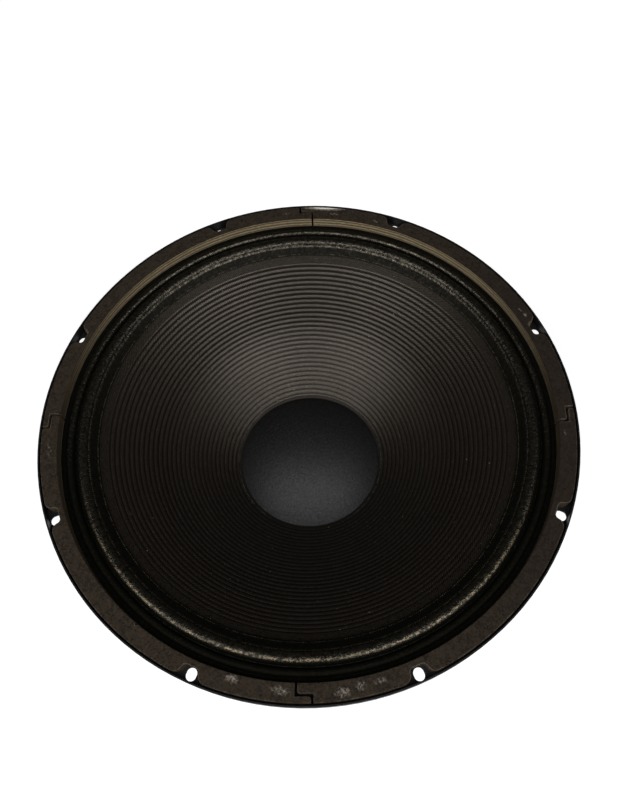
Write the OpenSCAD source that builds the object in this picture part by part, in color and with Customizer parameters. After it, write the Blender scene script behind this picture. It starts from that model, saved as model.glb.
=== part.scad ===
// A fifteen-inch woofer: a pressed steel basket with a four-piece gasket, a ribbed paper
// cone on a doped cloth surround, and a ferrite motor behind it.
// The axis is Z and the cone faces up. z = 0 is the underside of the back plate.

/* [Rim] */
// Outside diameter of the basket's wall, which drops into a cabinet's cut-out
cutout_d = 351; // [345:1:357]
// Width of the flange, from that wall to the outside of the rim
flange_w = 18; // [17.5:0.1:19]
// Thickness of the basket's pressed steel
sheet_t = 1; // [0.8:0.1:1.2]
// Height of the turned-up lip above the flange
lip_h = 8.2; // [5:0.2:9]
// Number of mounting slots, which is also the number of spokes
slot_count = 8; // [8]
// Width of a mounting slot
slot_w = 6.8; // [6:0.1:7.6]
// Length of a mounting slot along the radius
slot_l = 8.3; // [7.8:0.1:9]
// Steel left between a slot and the outside of the rim
slot_web = 1.6; // [1.2:0.1:2]

/* [Gasket] */
// Thickness of the gasket
gasket_t = 9.4; // [8.2:0.1:12]
// Width of the gasket's ring
gasket_w = 13.1; // [12.4:0.1:14]
// Radius of the gasket's top edges
gasket_edge = 0.6; // [0.4:0.1:1]
// Space between two gasket segments
joint_gap = 1.3; // [0.6:0.1:1.8]
// Length of the step in the joint between two segments
joint_lap = 10.2; // [7:0.1:12]
// Distance of that step from the gasket's inner edge
joint_in = 7.2; // [6:0.1:8]
// Width of a notch in the gasket at its inner end
notch_w = 10.4; // [10:0.1:12]
// Width of a notch where it opens into the gasket's outer edge
notch_mouth = 24; // [22:0.5:27]

/* [Surround] */
// Thickness of the surround's doped cloth
surround_t = 0.8; // [0.6:0.1:0.9]
// Width of the small outer roll
small_roll_w = 5; // [4.4:0.1:6]
// Height of the small roll's crown above the flange
small_roll_h = 1.9; // [1.4:0.1:3]
// Width of the large inner roll
large_roll_w = 8.2; // [7:0.1:10]
// Height of the large roll's crown above the flange
large_roll_h = 2.9; // [2:0.1:4]
// Width of the groove between the two rolls
roll_groove_w = 1.9; // [1.8:0.1:2.6]
// Depth of that groove below the flange
roll_groove_h = 2.2; // [1.6:0.1:3]
// Width of the skirt that is glued to the cone
skirt_w = 5.3; // [4:0.1:8]

/* [Cone] */
// Angle of the cone's side above the horizontal
cone_angle = 35.8; // [35:0.1:36.5]
// Thickness of the cone's paper
cone_t = 0.8; // [0.6:0.1:1]
// Depth of the cone's outer edge below the flange
edge_drop = 1.8; // [1.4:0.1:2.4]
// Width of the plain band between the cone's edge and its first rib
plain_band = 12; // [8:0.5:16]
// Distance from one rib to the next along the radius
rib_pitch = 3.1; // [2.6:0.1:4]
// Depth of the grooves between the ribs
rib_h = 0.5; // [0.3:0.1:0.7]
// Height of the collar at the cone's neck
neck_h = 3.5; // [2:0.5:4]

/* [Dust cap] */
// Diameter of the dust cap
cap_d = 112; // [106:0.4:116]
// Height of the dust cap's dome above its edge
cap_h = 22; // [16:0.5:26]
// Thickness of the dust cap
cap_t = 0.8; // [0.5:0.1:1.2]
// Width of the bead of glue round the dust cap
bead_w = 3.2; // [2:0.1:4]
// Height of that bead against the dust cap's edge
bead_h = 0.8; // [0.5:0.1:1]

/* [Voice coil] */
// Outside diameter of the voice coil's former
coil_d = 63.5; // [62:0.1:65]
// Thickness of the former
former_t = 0.4; // [0.2:0.1:0.6]
// Height of the winding
winding_h = 16; // [12:0.5:20]
// Thickness of the winding
winding_t = 1.2; // [0.8:0.1:1.6]
// Play between the voice coil and the steel on either side of it
gap_play = 0.8; // [0.5:0.1:1.2]
// Height of the former above the cone's neck
former_top = 3; // [1:0.5:6]

/* [Motor] */
// Diameter of the back plate and of the top plate
plate_d = 150; // [144:1:156]
// Thickness of the back plate
back_plate_t = 10; // [8:0.5:14]
// Diameter of the ferrite magnet
magnet_d = 156; // [150:1:170]
// Thickness of the magnet
magnet_t = 20; // [18:0.5:24]
// Diameter of the hole through the magnet
magnet_bore_d = 86; // [78:1:96]
// Thickness of the top plate
top_plate_t = 9; // [8:0.5:12]
// Diameter of the vent through the pole piece
vent_d = 20; // [12:1:30]
// Diameter of the pole piece's spigot in the back plate
spigot_d = 44; // [40:1:50]
// Chamfer on the edges of the steel plates and the magnet
plate_edge = 1.2; // [0.6:0.1:2]

/* [Basket] */
// Height of the basket, from the top plate to the flange
basket_h = 120; // [118:0.5:124]
// Height of the spider's shelf above the top plate
shelf_h = 18; // [16:0.5:20]
// Width of the spider's shelf
shelf_w = 12; // [10:0.5:14]
// Height of the upright wall below the flange
wall_h = 14; // [10:0.5:18]
// Width of the spokes
spoke_w = 24; // [18:0.5:30]
// Width of the solid band between the shelf and the windows, along the radius
lower_band = 12; // [9:0.5:14]
// Width of the solid band between the windows and the wall, along the radius
upper_band = 10; // [7:0.5:14]
// Radius of the windows' corners
window_corner = 7; // [3:0.5:9]
// Diameter of the hole in the basket's floor
floor_hole_d = 80; // [74:1:88]
// Width of the stiffening rib that is pressed into each spoke
rib_w = 10; // [8:0.5:12]
// Distance that this rib stands out of the spoke
rib_out = 3; // [2:0.2:4]

/* [Rivets] */
// Number of rivets between the basket and the top plate
rivet_count = 8; // [4:1:12]
// Diameter of the circle that those rivets stand on
rivet_circle_d = 116; // [106:1:124]
// Diameter of those rivets' shanks
rivet_d = 5; // [3:0.2:6]
// Depth of those rivets in the top plate
rivet_l = 6; // [4:0.5:7]

/* [Spider] */
// Thickness of the spider's cloth
spider_t = 0.6; // [0.4:0.1:0.9]
// Number of waves in the spider
wave_count = 5; // [4:1:6]
// Height of a wave above and below the spider's middle
wave_h = 2; // [1:0.1:2.6]
// Width of the flat ring that is glued to the basket's shelf
spider_land_w = 9; // [6:0.5:9.5]
// Height of the spider's collar round the voice coil
spider_collar_h = 3; // [2:0.5:3.5]

/* [Terminals] */
// Width of the terminal board
board_w = 46; // [40:1:50]
// Depth of the terminal board along the radius
board_l = 22; // [18:0.5:26]
// Thickness of the terminal board
board_t = 2; // [1.6:0.1:2]
// Width of the basket's tab under the board
tab_w = 16; // [12:0.5:18]
// Distance of a solder lug's middle from the end of the board
lug_inset = 6.4; // [6:0.1:8]
// Width of a solder lug
lug_w = 6; // [5:0.1:7]
// Thickness of a solder lug
lug_t = 0.8; // [0.5:0.1:0.8]
// Length of a lug's tag beyond the board
tag_l = 12; // [8:0.5:16]
// Angle at which the tag is bent up
tag_angle = 35; // [15:1:60]
// Diameter of the small rivets' shanks
pin_d = 3; // [2.4:0.1:3.4]
// Diameter of the flexible leads
lead_d = 2; // [1.6:0.1:2]
// Distance of the cone's eyelets from the axis
eyelet_r = 48; // [47.5:0.1:48.5]

/* [Hidden] */
SEGMENTS = 4;
$fn = 144;

// Clearances: a glued or pressed seat, a gap between pieces that move, and a cut's overrun
seat = 0.05;
running = 0.35;
over = 1;

// Colours
black_paint = [0.07, 0.07, 0.075];
chipboard = [0.42, 0.38, 0.31];
doped_cloth = [0.10, 0.11, 0.10];
cone_paper = [0.13, 0.12, 0.115];
cap_paper = [0.17, 0.16, 0.17];
dark_glue = [0.12, 0.10, 0.09];
kraft = [0.72, 0.60, 0.42];
copper = [0.72, 0.42, 0.24];
spider_cloth = [0.78, 0.66, 0.40];
zinc = [0.62, 0.63, 0.64];
ferrite = [0.20, 0.20, 0.21];
phenolic = [0.36, 0.22, 0.13];
brass = [0.78, 0.64, 0.32];
tin = [0.72, 0.72, 0.72];

// Heights
magnet_z = back_plate_t;
top_plate_z = magnet_z + magnet_t;
floor_z = top_plate_z + top_plate_t;
flange_z = floor_z + basket_h;
face_z = flange_z + gasket_t;
gap_z = top_plate_z + top_plate_t / 2;
shelf_z = floor_z + shelf_h;

// Rim: the slots, the step for the surround's edge and the gasket follow the flange
wall_r = cutout_d / 2;
rim_r = wall_r + flange_w;
slot_out_r = rim_r - slot_web;
slot_in_r = slot_out_r - slot_l;
slot_pitch = 360 / slot_count;
step_w = surround_t;
step_r = slot_in_r - 0.6 - step_w;
landing_r = step_r - 0.4;
gasket_r = rim_r - sheet_t - 0.3;
gasket_in_r = gasket_r - gasket_w;
gasket_chamfer = 0.9;
notch_end_r = slot_in_r - 0.1;
joint_r = gasket_in_r + joint_in;

// Surround and cone: the surround starts at the basket's wall and the cone ends inside it
landing_in_r = wall_r + 0.2;
roll_shift = 0.6;
small_roll_r = landing_in_r - roll_shift - small_roll_w / 2;
large_roll_r = small_roll_r - small_roll_w / 2 - roll_groove_w - large_roll_w / 2;
skirt_r = large_roll_r - large_roll_w / 2 - 0.2;
cone_r = skirt_r - 1.2;
cone_edge_z = flange_z - edge_drop;
cone_normal = [-sin(cone_angle), cos(cone_angle)];
function cone_top(r) = cone_edge_z - (cone_r - r) * tan(cone_angle);
rib_r = cone_r - plain_band;
cap_r = cap_d / 2;
rib_end_r = cap_r + bead_w + 2;
rib_count = floor((rib_r - rib_end_r) / rib_pitch);

// Voice coil and motor
former_r = coil_d / 2;
former_in_r = former_r - former_t;
winding_in_r = former_r + 0.02;
winding_r = winding_in_r + winding_t;
pole_r = former_in_r - gap_play;
gap_r = winding_r + gap_play;
neck_r = former_r + seat;
neck_wall = 0.9;
neck_z = cone_top(neck_r + neck_wall);

// Basket and spider
cup_r = plate_d / 2 - 1;
cup_draft = 2;
shelf_in_r = cup_r + cup_draft;
shelf_r = shelf_in_r + shelf_w;
slope_r = wall_r - sheet_t / 2;
slope_z = flange_z - wall_h;
slope_angle = atan2(slope_z - shelf_z + sheet_t / 2, slope_r - shelf_r);
function slope_mid(r) = shelf_z - sheet_t / 2 + (r - shelf_r) * tan(slope_angle);
window_in_r = shelf_r + lower_band;
window_r = slope_r - upper_band;
spider_in_r = former_r + running;
spider_r = shelf_r - 1.5;
waves_in_r = spider_in_r + 4;
waves_r = spider_r - spider_land_w;

// Terminals: the board lies on a tab at the foot of the window on the +Y side
tab_top_z = slope_mid(window_in_r);
board_in_r = window_in_r + 1.5;
board_mid_r = board_in_r + board_l / 2;
lug_angle = asin((board_w / 2 - lug_inset) / board_mid_r);
board_z = tab_top_z;
lug_z = board_z + board_t;
lug_top_z = lug_z + lug_t;
lug_in = board_in_r + 1;
lug_out = board_in_r + board_l + 1;
head_d = pin_d * 2;
head_h = 1.2;
solder_r = 2.6;
solder_in = lug_in + 3;
// The leads' common route, as distance from the axis and height, from eyelet to lug. Between
// its ends a lead hangs in the space over the spider: each pair is the share of the way
// out to the lug, and the share of the height from the spider's waves up to the cone.
eyelet_head = 0.5;
eyelet_under = [eyelet_r, cone_top(eyelet_r)] - cone_normal * (cone_t + eyelet_head + 3 * seat);
spider_top_z = shelf_z + spider_t + wave_h;
lead_hang = [
    [0.070, 0.58], [0.157, 0.38], [0.261, 0.29], [0.365, 0.265], [0.470, 0.27],
    [0.574, 0.285], [0.678, 0.297], [0.783, 0.295], [0.870, 0.278]
];
function lead_point(out, up) =
    let (
        r = eyelet_r + (solder_in - eyelet_r) * out,
        under_cone = cone_top(r) - cone_t / cos(cone_angle)
    )
    [r, spider_top_z + (under_cone - spider_top_z) * up];
lead_route = [
    eyelet_under,
    eyelet_under - cone_normal * 2,
    each [for (p = lead_hang) lead_point(p[0], p[1])],
    [solder_in - 3, lug_top_z + lead_d / 2 + 0.6],
    [solder_in, lug_top_z + lead_d / 2 + 0.1]
];

function unit(v) = v / norm(v);
function reversed(list) = [for (i = [len(list) - 1:-1:0]) list[i]];
function at_angle(r, a) = r * [cos(a), sin(a)];

// Points of a round corner of radius r at b, on a path from a through b to c
function corner(a, b, c, r, steps = 5) =
    let (
        u = unit(a - b),
        v = unit(c - b),
        half = acos(max(-1, min(1, u * v))) / 2,
        centre = b + unit(u + v) * r / sin(half),
        p = b + u * r / tan(half) - centre,
        q = b + v * r / tan(half) - centre,
        start = atan2(p.y, p.x),
        sweep = atan2(p.x * q.y - p.y * q.x, p * q)
    )
    [for (i = [0:steps]) centre + at_angle(r, start + sweep * i / steps)];

// A path of [x, y, corner radius] with its corners rounded, open or closed
function rounded(path, closed = false) =
    let (n = len(path), flat = [for (p = path) [p[0], p[1]]])
    [for (i = [0:n - 1])
        each (path[i][2] == 0 || (!closed && (i == 0 || i == n - 1)))
            ? [flat[i]]
            : corner(flat[(i + n - 1) % n], flat[i], flat[(i + 1) % n], path[i][2])];

// The path moved sideways by d, to the left of its direction
function beside(path, d) =
    let (n = len(path))
    [for (i = [0:n - 1])
        let (
            u = unit(path[i] - path[max(i - 1, 0)] + (i == 0 ? path[1] - path[0] : [0, 0])),
            v = unit(path[min(i + 1, n - 1)] - path[i] + (i == n - 1 ? path[i] - path[i - 1] : [0, 0])),
            left = unit([-u.y, u.x] + [-v.y, v.x])
        )
        path[i] + left * d / (left * [-u.y, u.x])];

// The outline of a sheet of thickness t whose middle follows the path
function sheet(path, t) = concat(beside(path, t / 2), reversed(beside(path, -t / 2)));

// A disc with a hole, chamfered at its outer edges
module plate(d, t, hole_d, z) {
    rotate_extrude() polygon([
        [hole_d / 2, z],
        [d / 2 - plate_edge, z],
        [d / 2, z + plate_edge],
        [d / 2, z + t - plate_edge],
        [d / 2 - plate_edge, z + t],
        [hole_d / 2, z + t]
    ]);
}

// A tube from z0 to z1
module tube(r_out, r_in, z0, z1) {
    rotate_extrude() translate([r_in, z0]) square([r_out - r_in, z1 - z0]);
}

// A rivet with a domed head on z = 0 and a shank below it, headed again at its foot if asked
module rivet(shank_d, head_d, head_h, shank_l, foot_h = 0) {
    dome = [for (a = [0:15:90]) [head_d / 2 * cos(a), head_h * sin(a)]];
    foot = foot_h == 0
        ? [[0, -shank_l]]
        : [[0, -shank_l - foot_h], [head_d * 0.42, -shank_l - foot_h], [head_d * 0.42, -shank_l]];
    rotate_extrude() polygon(concat(dome, foot, [[shank_d / 2, -shank_l], [shank_d / 2, 0]]));
}

// Basket: one sheet, pressed from a floor through a shelf and a sloping wall to the rim
module basket_sheet() {
    floor_mid = floor_z + sheet_t / 2;
    shelf_mid = shelf_z - sheet_t / 2;
    flange_mid = flange_z - sheet_t / 2;
    rim_mid = rim_r - sheet_t / 2;
    path = rounded([
        [floor_hole_d / 2, floor_mid, 0],
        [cup_r - sheet_t / 2, floor_mid, 4],
        [shelf_in_r - sheet_t / 2, shelf_mid, 2.5],
        [shelf_r, shelf_mid, 3],
        [slope_r, slope_z, 8],
        [slope_r, flange_mid - surround_t, 1.4],
        [step_r, flange_mid - surround_t, 0],
        [step_r + step_w, flange_mid, 0],
        [rim_mid, flange_mid, 1.2],
        [rim_mid, flange_z + lip_h, 0]
    ]);
    rotate_extrude() polygon(sheet(path, sheet_t));
}

// One window between two spokes, seen along the axis and centred on +X
module window_outline() {
    half = 180 / slot_count;
    edge = spoke_w / 2;
    reach = function (r) half - asin(edge / r);
    arc = function (r, from, to) [for (i = [1:5]) at_angle(r, from + (to - from) * i / 6)];
    corner_at = function (r, side) concat(at_angle(r, side * reach(r)), window_corner);
    plain = function (points) [for (p = points) [p.x, p.y, 0]];
    polygon(rounded(concat(
        [corner_at(window_in_r, 1)],
        plain(arc(window_in_r, reach(window_in_r), -reach(window_in_r))),
        [corner_at(window_in_r, -1), corner_at(window_r, -1)],
        plain(arc(window_r, -reach(window_r), reach(window_r))),
        [corner_at(window_r, 1)]
    ), closed = true));
}

// The stiffening rib of one spoke, standing out of the back of the sloping wall
module spoke_rib() {
    from_r = window_in_r - 4;
    to_r = window_r + 3;
    length = (to_r - from_r) / cos(slope_angle);
    foot = rib_w / 2;
    crown = rib_w / 2 - rib_out * 0.8;
    translate([from_r, 0, slope_mid(from_r)])
    rotate([0, 90 - slope_angle, 0])
    linear_extrude(length)
    polygon([[0, -foot], [rib_out, -crown], [rib_out, crown], [0, foot]]);
}

module slot(clearance_h) {
    mid = slot_l - slot_w;
    translate([slot_in_r + slot_w / 2, 0, flange_z - sheet_t - over])
    linear_extrude(clearance_h) {
        circle(d = slot_w);
        translate([0, -slot_w / 2]) square([mid, slot_w]);
        translate([mid, 0]) circle(d = slot_w);
    }
}

module basket() {
    color(black_paint)
    difference() {
        union() {
            basket_sheet();
            for (i = [0:slot_count - 1]) rotate([0, 0, slot_pitch * (i + 0.5)]) spoke_rib();
            rotate([0, 0, 90])
            translate([window_in_r - 1, -tab_w / 2, tab_top_z - sheet_t])
            cube([board_l - 2, tab_w, sheet_t]);
        }
        for (i = [0:slot_count - 1]) rotate([0, 0, slot_pitch * i])
            difference() {
                translate([0, 0, shelf_z + 2]) linear_extrude(slope_z - shelf_z) window_outline();
                if (slot_pitch * i == 90) tab_space();
            }
        for (i = [0:slot_count - 1]) rotate([0, 0, slot_pitch * (i + 0.5)])
            slot(sheet_t + lip_h + 2 * over);
        rivet_holes(rivet_d + 2 * seat, floor_z - over, sheet_t + 2 * over);
        for (r = board_rivet_rs()) at_board(r, 0)
            translate([0, 0, tab_top_z - sheet_t - over])
            cylinder(d = pin_d + 2 * seat, h = sheet_t + 2 * over);
    }
}

// The block that the tab fills in the window on the +Y side
module tab_space() {
    translate([window_in_r - 2, -tab_w / 2, tab_top_z - sheet_t])
    cube([board_l, tab_w, sheet_t]);
}

// Gasket: four chipboard segments that meet in stepped joints, notched at each slot
module gasket_ring() {
    e = gasket_edge;
    c = gasket_chamfer;
    outline = rounded([
        [gasket_in_r, flange_z, 0],
        [gasket_r - c, flange_z, 0],
        [gasket_r, flange_z + c, 0],
        [gasket_r, face_z, e],
        [gasket_in_r, face_z, e]
    ], closed = true);
    rotate_extrude() polygon(outline);
}

// Plan of one segment, from the joint at 0 degrees round to the joint at 90 degrees
module segment_outline() {
    lap = joint_lap / joint_r * 90 / PI;
    quarter = 360 / SEGMENTS;
    in_r = gasket_in_r - 8;
    out_r = gasket_r + 8;
    half_gap = joint_gap / 2;
    part = function (r) half_gap / r * 180 / PI;
    at = function (r, a, round_r) concat(at_angle(r, a), round_r);
    low = joint_r - half_gap;
    high = joint_r + half_gap;
    polygon(rounded(concat(
        [
            at(in_r, -lap + part(gasket_in_r), 0),
            at(low, -lap + part(low), 1.8),
            at(low, lap + part(low), 0.6),
            at(out_r, lap + part(gasket_r), 0)
        ],
        [for (i = [1:17]) at(out_r, lap + (quarter - 0.5) * i / 18, 0)],
        [
            at(out_r, quarter + lap - part(gasket_r), 0),
            at(high, quarter + lap - part(high), 1.8),
            at(high, quarter - lap - part(high), 0.6),
            at(in_r, quarter - lap - part(gasket_in_r), 0)
        ],
        [for (i = [17:-1:1]) at(in_r, -lap + (quarter - 0.5) * i / 18, 0)]
    ), closed = true));
}

// Plan of a notch, with round shoulders that run into the gasket's outer edge
module notch_outline() {
    mouth_angle = asin(notch_mouth / 2 / gasket_r);
    tangent_x = function (y) (gasket_r - y * sin(mouth_angle)) / cos(mouth_angle);
    knee_y = notch_w / 2 + 1.2;
    far_y = notch_mouth / 2 + 2;
    shoulder_r = (notch_mouth / 2 - knee_y) * 1.06;
    half = rounded([
        [notch_end_r, 0, 0],
        [notch_end_r, notch_w / 2, 2.4],
        [tangent_x(knee_y), knee_y, shoulder_r],
        [tangent_x(far_y) + 0.02, far_y, 0],
        [rim_r + 2, far_y, 0]
    ]);
    polygon(concat(half, reversed([for (p = half) [p.x, -p.y]])));
}

module gasket_segment(index) {
    color(chipboard)
    rotate([0, 0, 360 / SEGMENTS * index])
    difference() {
        intersection() {
            gasket_ring();
            translate([0, 0, flange_z - over]) linear_extrude(gasket_t + 2 * over) segment_outline();
        }
        for (i = [0:slot_count / SEGMENTS - 1]) rotate([0, 0, slot_pitch * (i + 0.5)])
            translate([0, 0, flange_z - over]) linear_extrude(gasket_t + 2 * over) notch_outline();
    }
}

// Surround: a flat edge under the gasket, two rolls, and a skirt that lies on the cone
module surround() {
    t = surround_t;
    land_z = flange_z - t / 2;
    groove_z = flange_z - roll_groove_h - t / 2;
    lift = running + t / 2;
    skirt_at = function (r) [r, cone_top(r)] + cone_normal * lift;
    skirt_end = skirt_at(cone_r - skirt_w);
    valley = [skirt_r, cone_top(skirt_r) + lift / cos(cone_angle), 0.8];
    roll = function (r, w, crown_z, from_z, to_z)
        [for (a = [10:10:170])
            let (base = a < 90 ? from_z : to_z)
            [r + w / 2 * cos(a), base + (crown_z - base) * sin(a), 0]];
    small_out = small_roll_r + small_roll_w / 2;
    small_in = small_roll_r - small_roll_w / 2;
    large_out = large_roll_r + large_roll_w / 2;
    large_in = large_roll_r - large_roll_w / 2;
    path = rounded(concat(
        [[landing_r, land_z, 0], [small_out + 0.5, land_z, 0.8]],
        roll(small_roll_r, small_roll_w, flange_z + small_roll_h - t / 2, land_z + 0.6, groove_z + 0.9),
        [[small_in - 0.1, groove_z, 0.7], [large_out + 0.1, groove_z, 0.7]],
        roll(large_roll_r, large_roll_w, flange_z + large_roll_h - t / 2, groove_z + 0.9, valley.y + 0.9),
        [[large_in - 0.1, valley.y, 0.7], [skirt_end.x, skirt_end.y, 0]]
    ));
    color(doped_cloth) rotate_extrude() polygon(sheet(path, t));
}

// Cone: ribbed paper, a plain band at its edge, and a collar at its neck
module cone() {
    groove = function (i)
        let (r = rib_r - rib_pitch * i)
        [for (p = [[0.17, 0], [0.06, 1], [-0.06, 1], [-0.17, 0]])
            let (at = r + p.x * rib_pitch)
            [at, cone_top(at)] - cone_normal * rib_h * p.y];
    neck_out = neck_r + neck_wall;
    top = concat(
        [[cone_r, cone_edge_z]],
        [for (i = [0:rib_count]) each groove(i)],
        [[neck_out, neck_z]]
    );
    collar = [
        [neck_r, neck_z],
        [neck_r, neck_z - neck_h],
        [neck_out, neck_z - neck_h]
    ];
    under = [for (p = top) p - cone_normal * cone_t];
    color(cone_paper)
    difference() {
        rotate_extrude() polygon(concat(top, collar, reversed(under)));
        for (side = [-1, 1]) at_eyelet(side)
            translate([0, 0, -cone_t - over]) cylinder(d = pin_d + 2 * seat, h = cone_t + 2 * over);
    }
}

// Dust cap: a plain dome that stands on the cone
function cap_z() = cone_top(cap_r) + seat;
module dust_cap() {
    dome_r = (cap_r * cap_r + cap_h * cap_h) / (2 * cap_h);
    half = asin(cap_r / dome_r);
    steps = 24;
    centre = [0, cap_z() + cap_h - dome_r];
    arc = function (r) [for (i = [0:steps]) centre + at_angle(r, 90 - half * i / steps)];
    // The inner arc stops where the dome's wall would meet the cone
    inner = [for (p = arc(dome_r - cap_t)) if (p.y > cone_top(p.x) + seat) p];
    color(cap_paper) rotate_extrude() polygon(concat(arc(dome_r), reversed(inner)));
}

// Bead of glue in the corner between the dust cap and the cone
module dust_cap_glue() {
    r = cap_r + seat;
    foot = function (at) [at, cone_top(at) + seat];
    color(dark_glue) rotate_extrude() polygon([
        foot(r),
        foot(r + bead_w),
        foot(r + bead_w * 0.55) + [0, bead_h * 0.35],
        foot(r) + [0, bead_h]
    ]);
}

// Bead of glue in the corner between the cone's neck and the former
module neck_glue() {
    w = 1.6;
    r = neck_r;
    top_z = neck_z + neck_wall;
    color(dark_glue) rotate_extrude() polygon([
        [r, neck_z + seat],
        [r + neck_wall, neck_z + seat],
        [r + w, cone_top(r + w) + seat],
        [r, top_z + w * 0.6]
    ]);
}

// Places its children on the cone at one eyelet, with +Z along the cone's outward normal
module at_eyelet(side) {
    rotate([0, 0, 90 + side * lug_angle])
    translate([eyelet_r, 0, cone_top(eyelet_r)])
    rotate([0, -cone_angle, 0])
    children();
}

// Eyelets: two hollow rivets through the cone, under the dust cap. Each flat head spans the
// hollow of the cone's round side, so it stands off by the depth of that hollow.
module cone_eyelets() {
    r = pin_d / 2;
    head_r = r * 1.7;
    side_r = eyelet_r / sin(cone_angle);
    stand_off = seat / 2 + side_r - sqrt(side_r * side_r - head_r * head_r);
    top_seat = stand_off;
    under_seat = -cone_t - stand_off;
    color(brass)
    for (side = [-1, 1]) at_eyelet(side)
        rotate_extrude() polygon([
            [r * 0.5, under_seat - eyelet_head],
            [head_r, under_seat - eyelet_head],
            [head_r, under_seat],
            [r, under_seat],
            [r, top_seat],
            [head_r, top_seat],
            [head_r, top_seat + eyelet_head],
            [r * 0.5, top_seat + eyelet_head]
        ]);
}

module voice_coil_former() {
    color(kraft) tube(former_r, former_in_r, gap_z - winding_h / 2 - 1, neck_z + former_top);
}

module voice_coil_winding() {
    color(copper) tube(winding_r, winding_in_r, gap_z - winding_h / 2, gap_z + winding_h / 2);
}

// Spider: corrugated cloth from a collar round the former to the basket's shelf
module spider() {
    pitch = (waves_r - waves_in_r) / wave_count;
    level = shelf_z + spider_t / 2;
    steps = 8 * wave_count;
    waves = [for (i = [0:steps])
        let (r = waves_r - (waves_r - waves_in_r) * i / steps)
        [r, level + wave_h * sin(360 * (waves_r - r) / pitch)]];
    under = [for (p = waves) p - [0, spider_t / 2]];
    top = [for (p = waves) p + [0, spider_t / 2]];
    bore = spider_in_r;
    color(spider_cloth) rotate_extrude() polygon(concat(
        [[spider_r, level + spider_t / 2]],
        top,
        [[bore + spider_t, level + spider_t / 2 + 0.8],
         [bore + spider_t, level + spider_collar_h],
         [bore, level + spider_collar_h],
         [bore, level - spider_t / 2]],
        reversed(under),
        [[spider_r, level - spider_t / 2]]
    ));
}

module rivet_holes(d, z, h) {
    for (i = [0:rivet_count - 1]) rotate([0, 0, 360 / rivet_count * i])
        translate([rivet_circle_d / 2, 0, z]) cylinder(d = d, h = h);
}

module top_plate() {
    color(zinc)
    difference() {
        plate(plate_d, top_plate_t, 2 * gap_r, top_plate_z);
        rivet_holes(rivet_d + 2 * seat, floor_z - rivet_l - 0.5, rivet_l + over);
    }
}

module magnet() {
    color(ferrite) plate(magnet_d, magnet_t, magnet_bore_d, magnet_z);
}

module back_plate() {
    color(zinc) plate(plate_d, back_plate_t, spigot_d + 2 * seat, 0);
}

// Pole piece: a vented steel cylinder with a spigot pressed into the back plate
module pole_piece() {
    vent_r = vent_d / 2;
    mouth = 3;
    color(zinc) rotate_extrude() polygon([
        [vent_r + mouth, 0],
        [spigot_d / 2, 0],
        [spigot_d / 2, magnet_z],
        [pole_r, magnet_z],
        [pole_r, floor_z - plate_edge],
        [pole_r - plate_edge, floor_z],
        [vent_r + mouth, floor_z],
        [vent_r, floor_z - mouth],
        [vent_r, mouth]
    ]);
}

module basket_rivets() {
    color(zinc)
    for (i = [0:rivet_count - 1]) rotate([0, 0, 360 / rivet_count * i])
        translate([rivet_circle_d / 2, 0, floor_z + sheet_t + seat])
        rivet(rivet_d, rivet_d * 1.8, rivet_d * 0.45, rivet_l + sheet_t);
}

// Places its children on the terminal board's side of the basket
module at_board(r, side) {
    rotate([0, 0, 90 + side * lug_angle]) translate([r, 0, 0]) children();
}
function board_rivet_rs() = [board_in_r + 5, board_in_r + board_l - 8];
lug_rivet_r = board_mid_r + 2;

module terminal_board() {
    color(phenolic)
    difference() {
        rotate([0, 0, 90]) translate([board_in_r, 0, board_z]) linear_extrude(board_t)
            polygon(rounded([
                [0, -board_w / 2, 2],
                [board_l, -board_w / 2, 2],
                [board_l, board_w / 2, 2],
                [0, board_w / 2, 2]
            ], closed = true));
        for (r = board_rivet_rs()) at_board(r, 0)
            translate([0, 0, board_z - over]) cylinder(d = pin_d + 2 * seat, h = board_t + 2 * over);
        for (side = [-1, 1]) at_board(lug_rivet_r, side)
            translate([0, 0, board_z - over]) cylinder(d = pin_d + 2 * seat, h = board_t + 2 * over);
    }
}

module board_rivets() {
    color(tin)
    for (r = board_rivet_rs()) at_board(r, 0)
        translate([0, 0, lug_z + seat])
        rivet(pin_d, head_d, head_h, board_t + sheet_t + 2 * seat, head_h);
}

// Solder lug: a flat brass strip along the board, with its outer end bent up
module solder_lug(side) {
    color(brass)
    at_board(0, side)
    difference() {
        union() {
            translate([lug_in, -lug_w / 2, lug_z]) cube([lug_out - lug_in, lug_w, lug_t]);
            translate([lug_out, 0, lug_z]) rotate([0, -tag_angle, 0]) {
                translate([0, -lug_w / 2, 0]) cube([tag_l - lug_w / 2, lug_w, lug_t]);
                translate([tag_l - lug_w / 2, 0, 0]) cylinder(d = lug_w, h = lug_t);
            }
        }
        translate([lug_rivet_r, 0, lug_z - over]) cylinder(d = pin_d + 2 * seat, h = lug_t + 2 * over);
        translate([lug_out, 0, lug_z]) rotate([0, -tag_angle, 0])
            translate([tag_l - lug_w / 2, 0, -over]) cylinder(d = lug_w * 0.42, h = lug_t + 2 * over);
    }
}

module lug_rivets() {
    color(tin)
    for (side = [-1, 1]) at_board(lug_rivet_r, side)
        translate([0, 0, lug_top_z + seat])
        rivet(pin_d, head_d * 0.95, head_h, board_t + lug_t + 2 * seat, head_h);
}

// Solder: a low mound on each lug, cut square where the lead runs into it
module solder_joints() {
    color(tin)
    for (side = [-1, 1]) at_board(solder_in + seat, side)
        intersection() {
            translate([0, 0, lug_top_z]) rivet(solder_r * 2, solder_r * 2, lead_d + 0.8, 0.001);
            translate([0, -solder_r, lug_top_z]) cube([solder_r, solder_r * 2, lead_d + 1]);
        }
}

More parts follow.
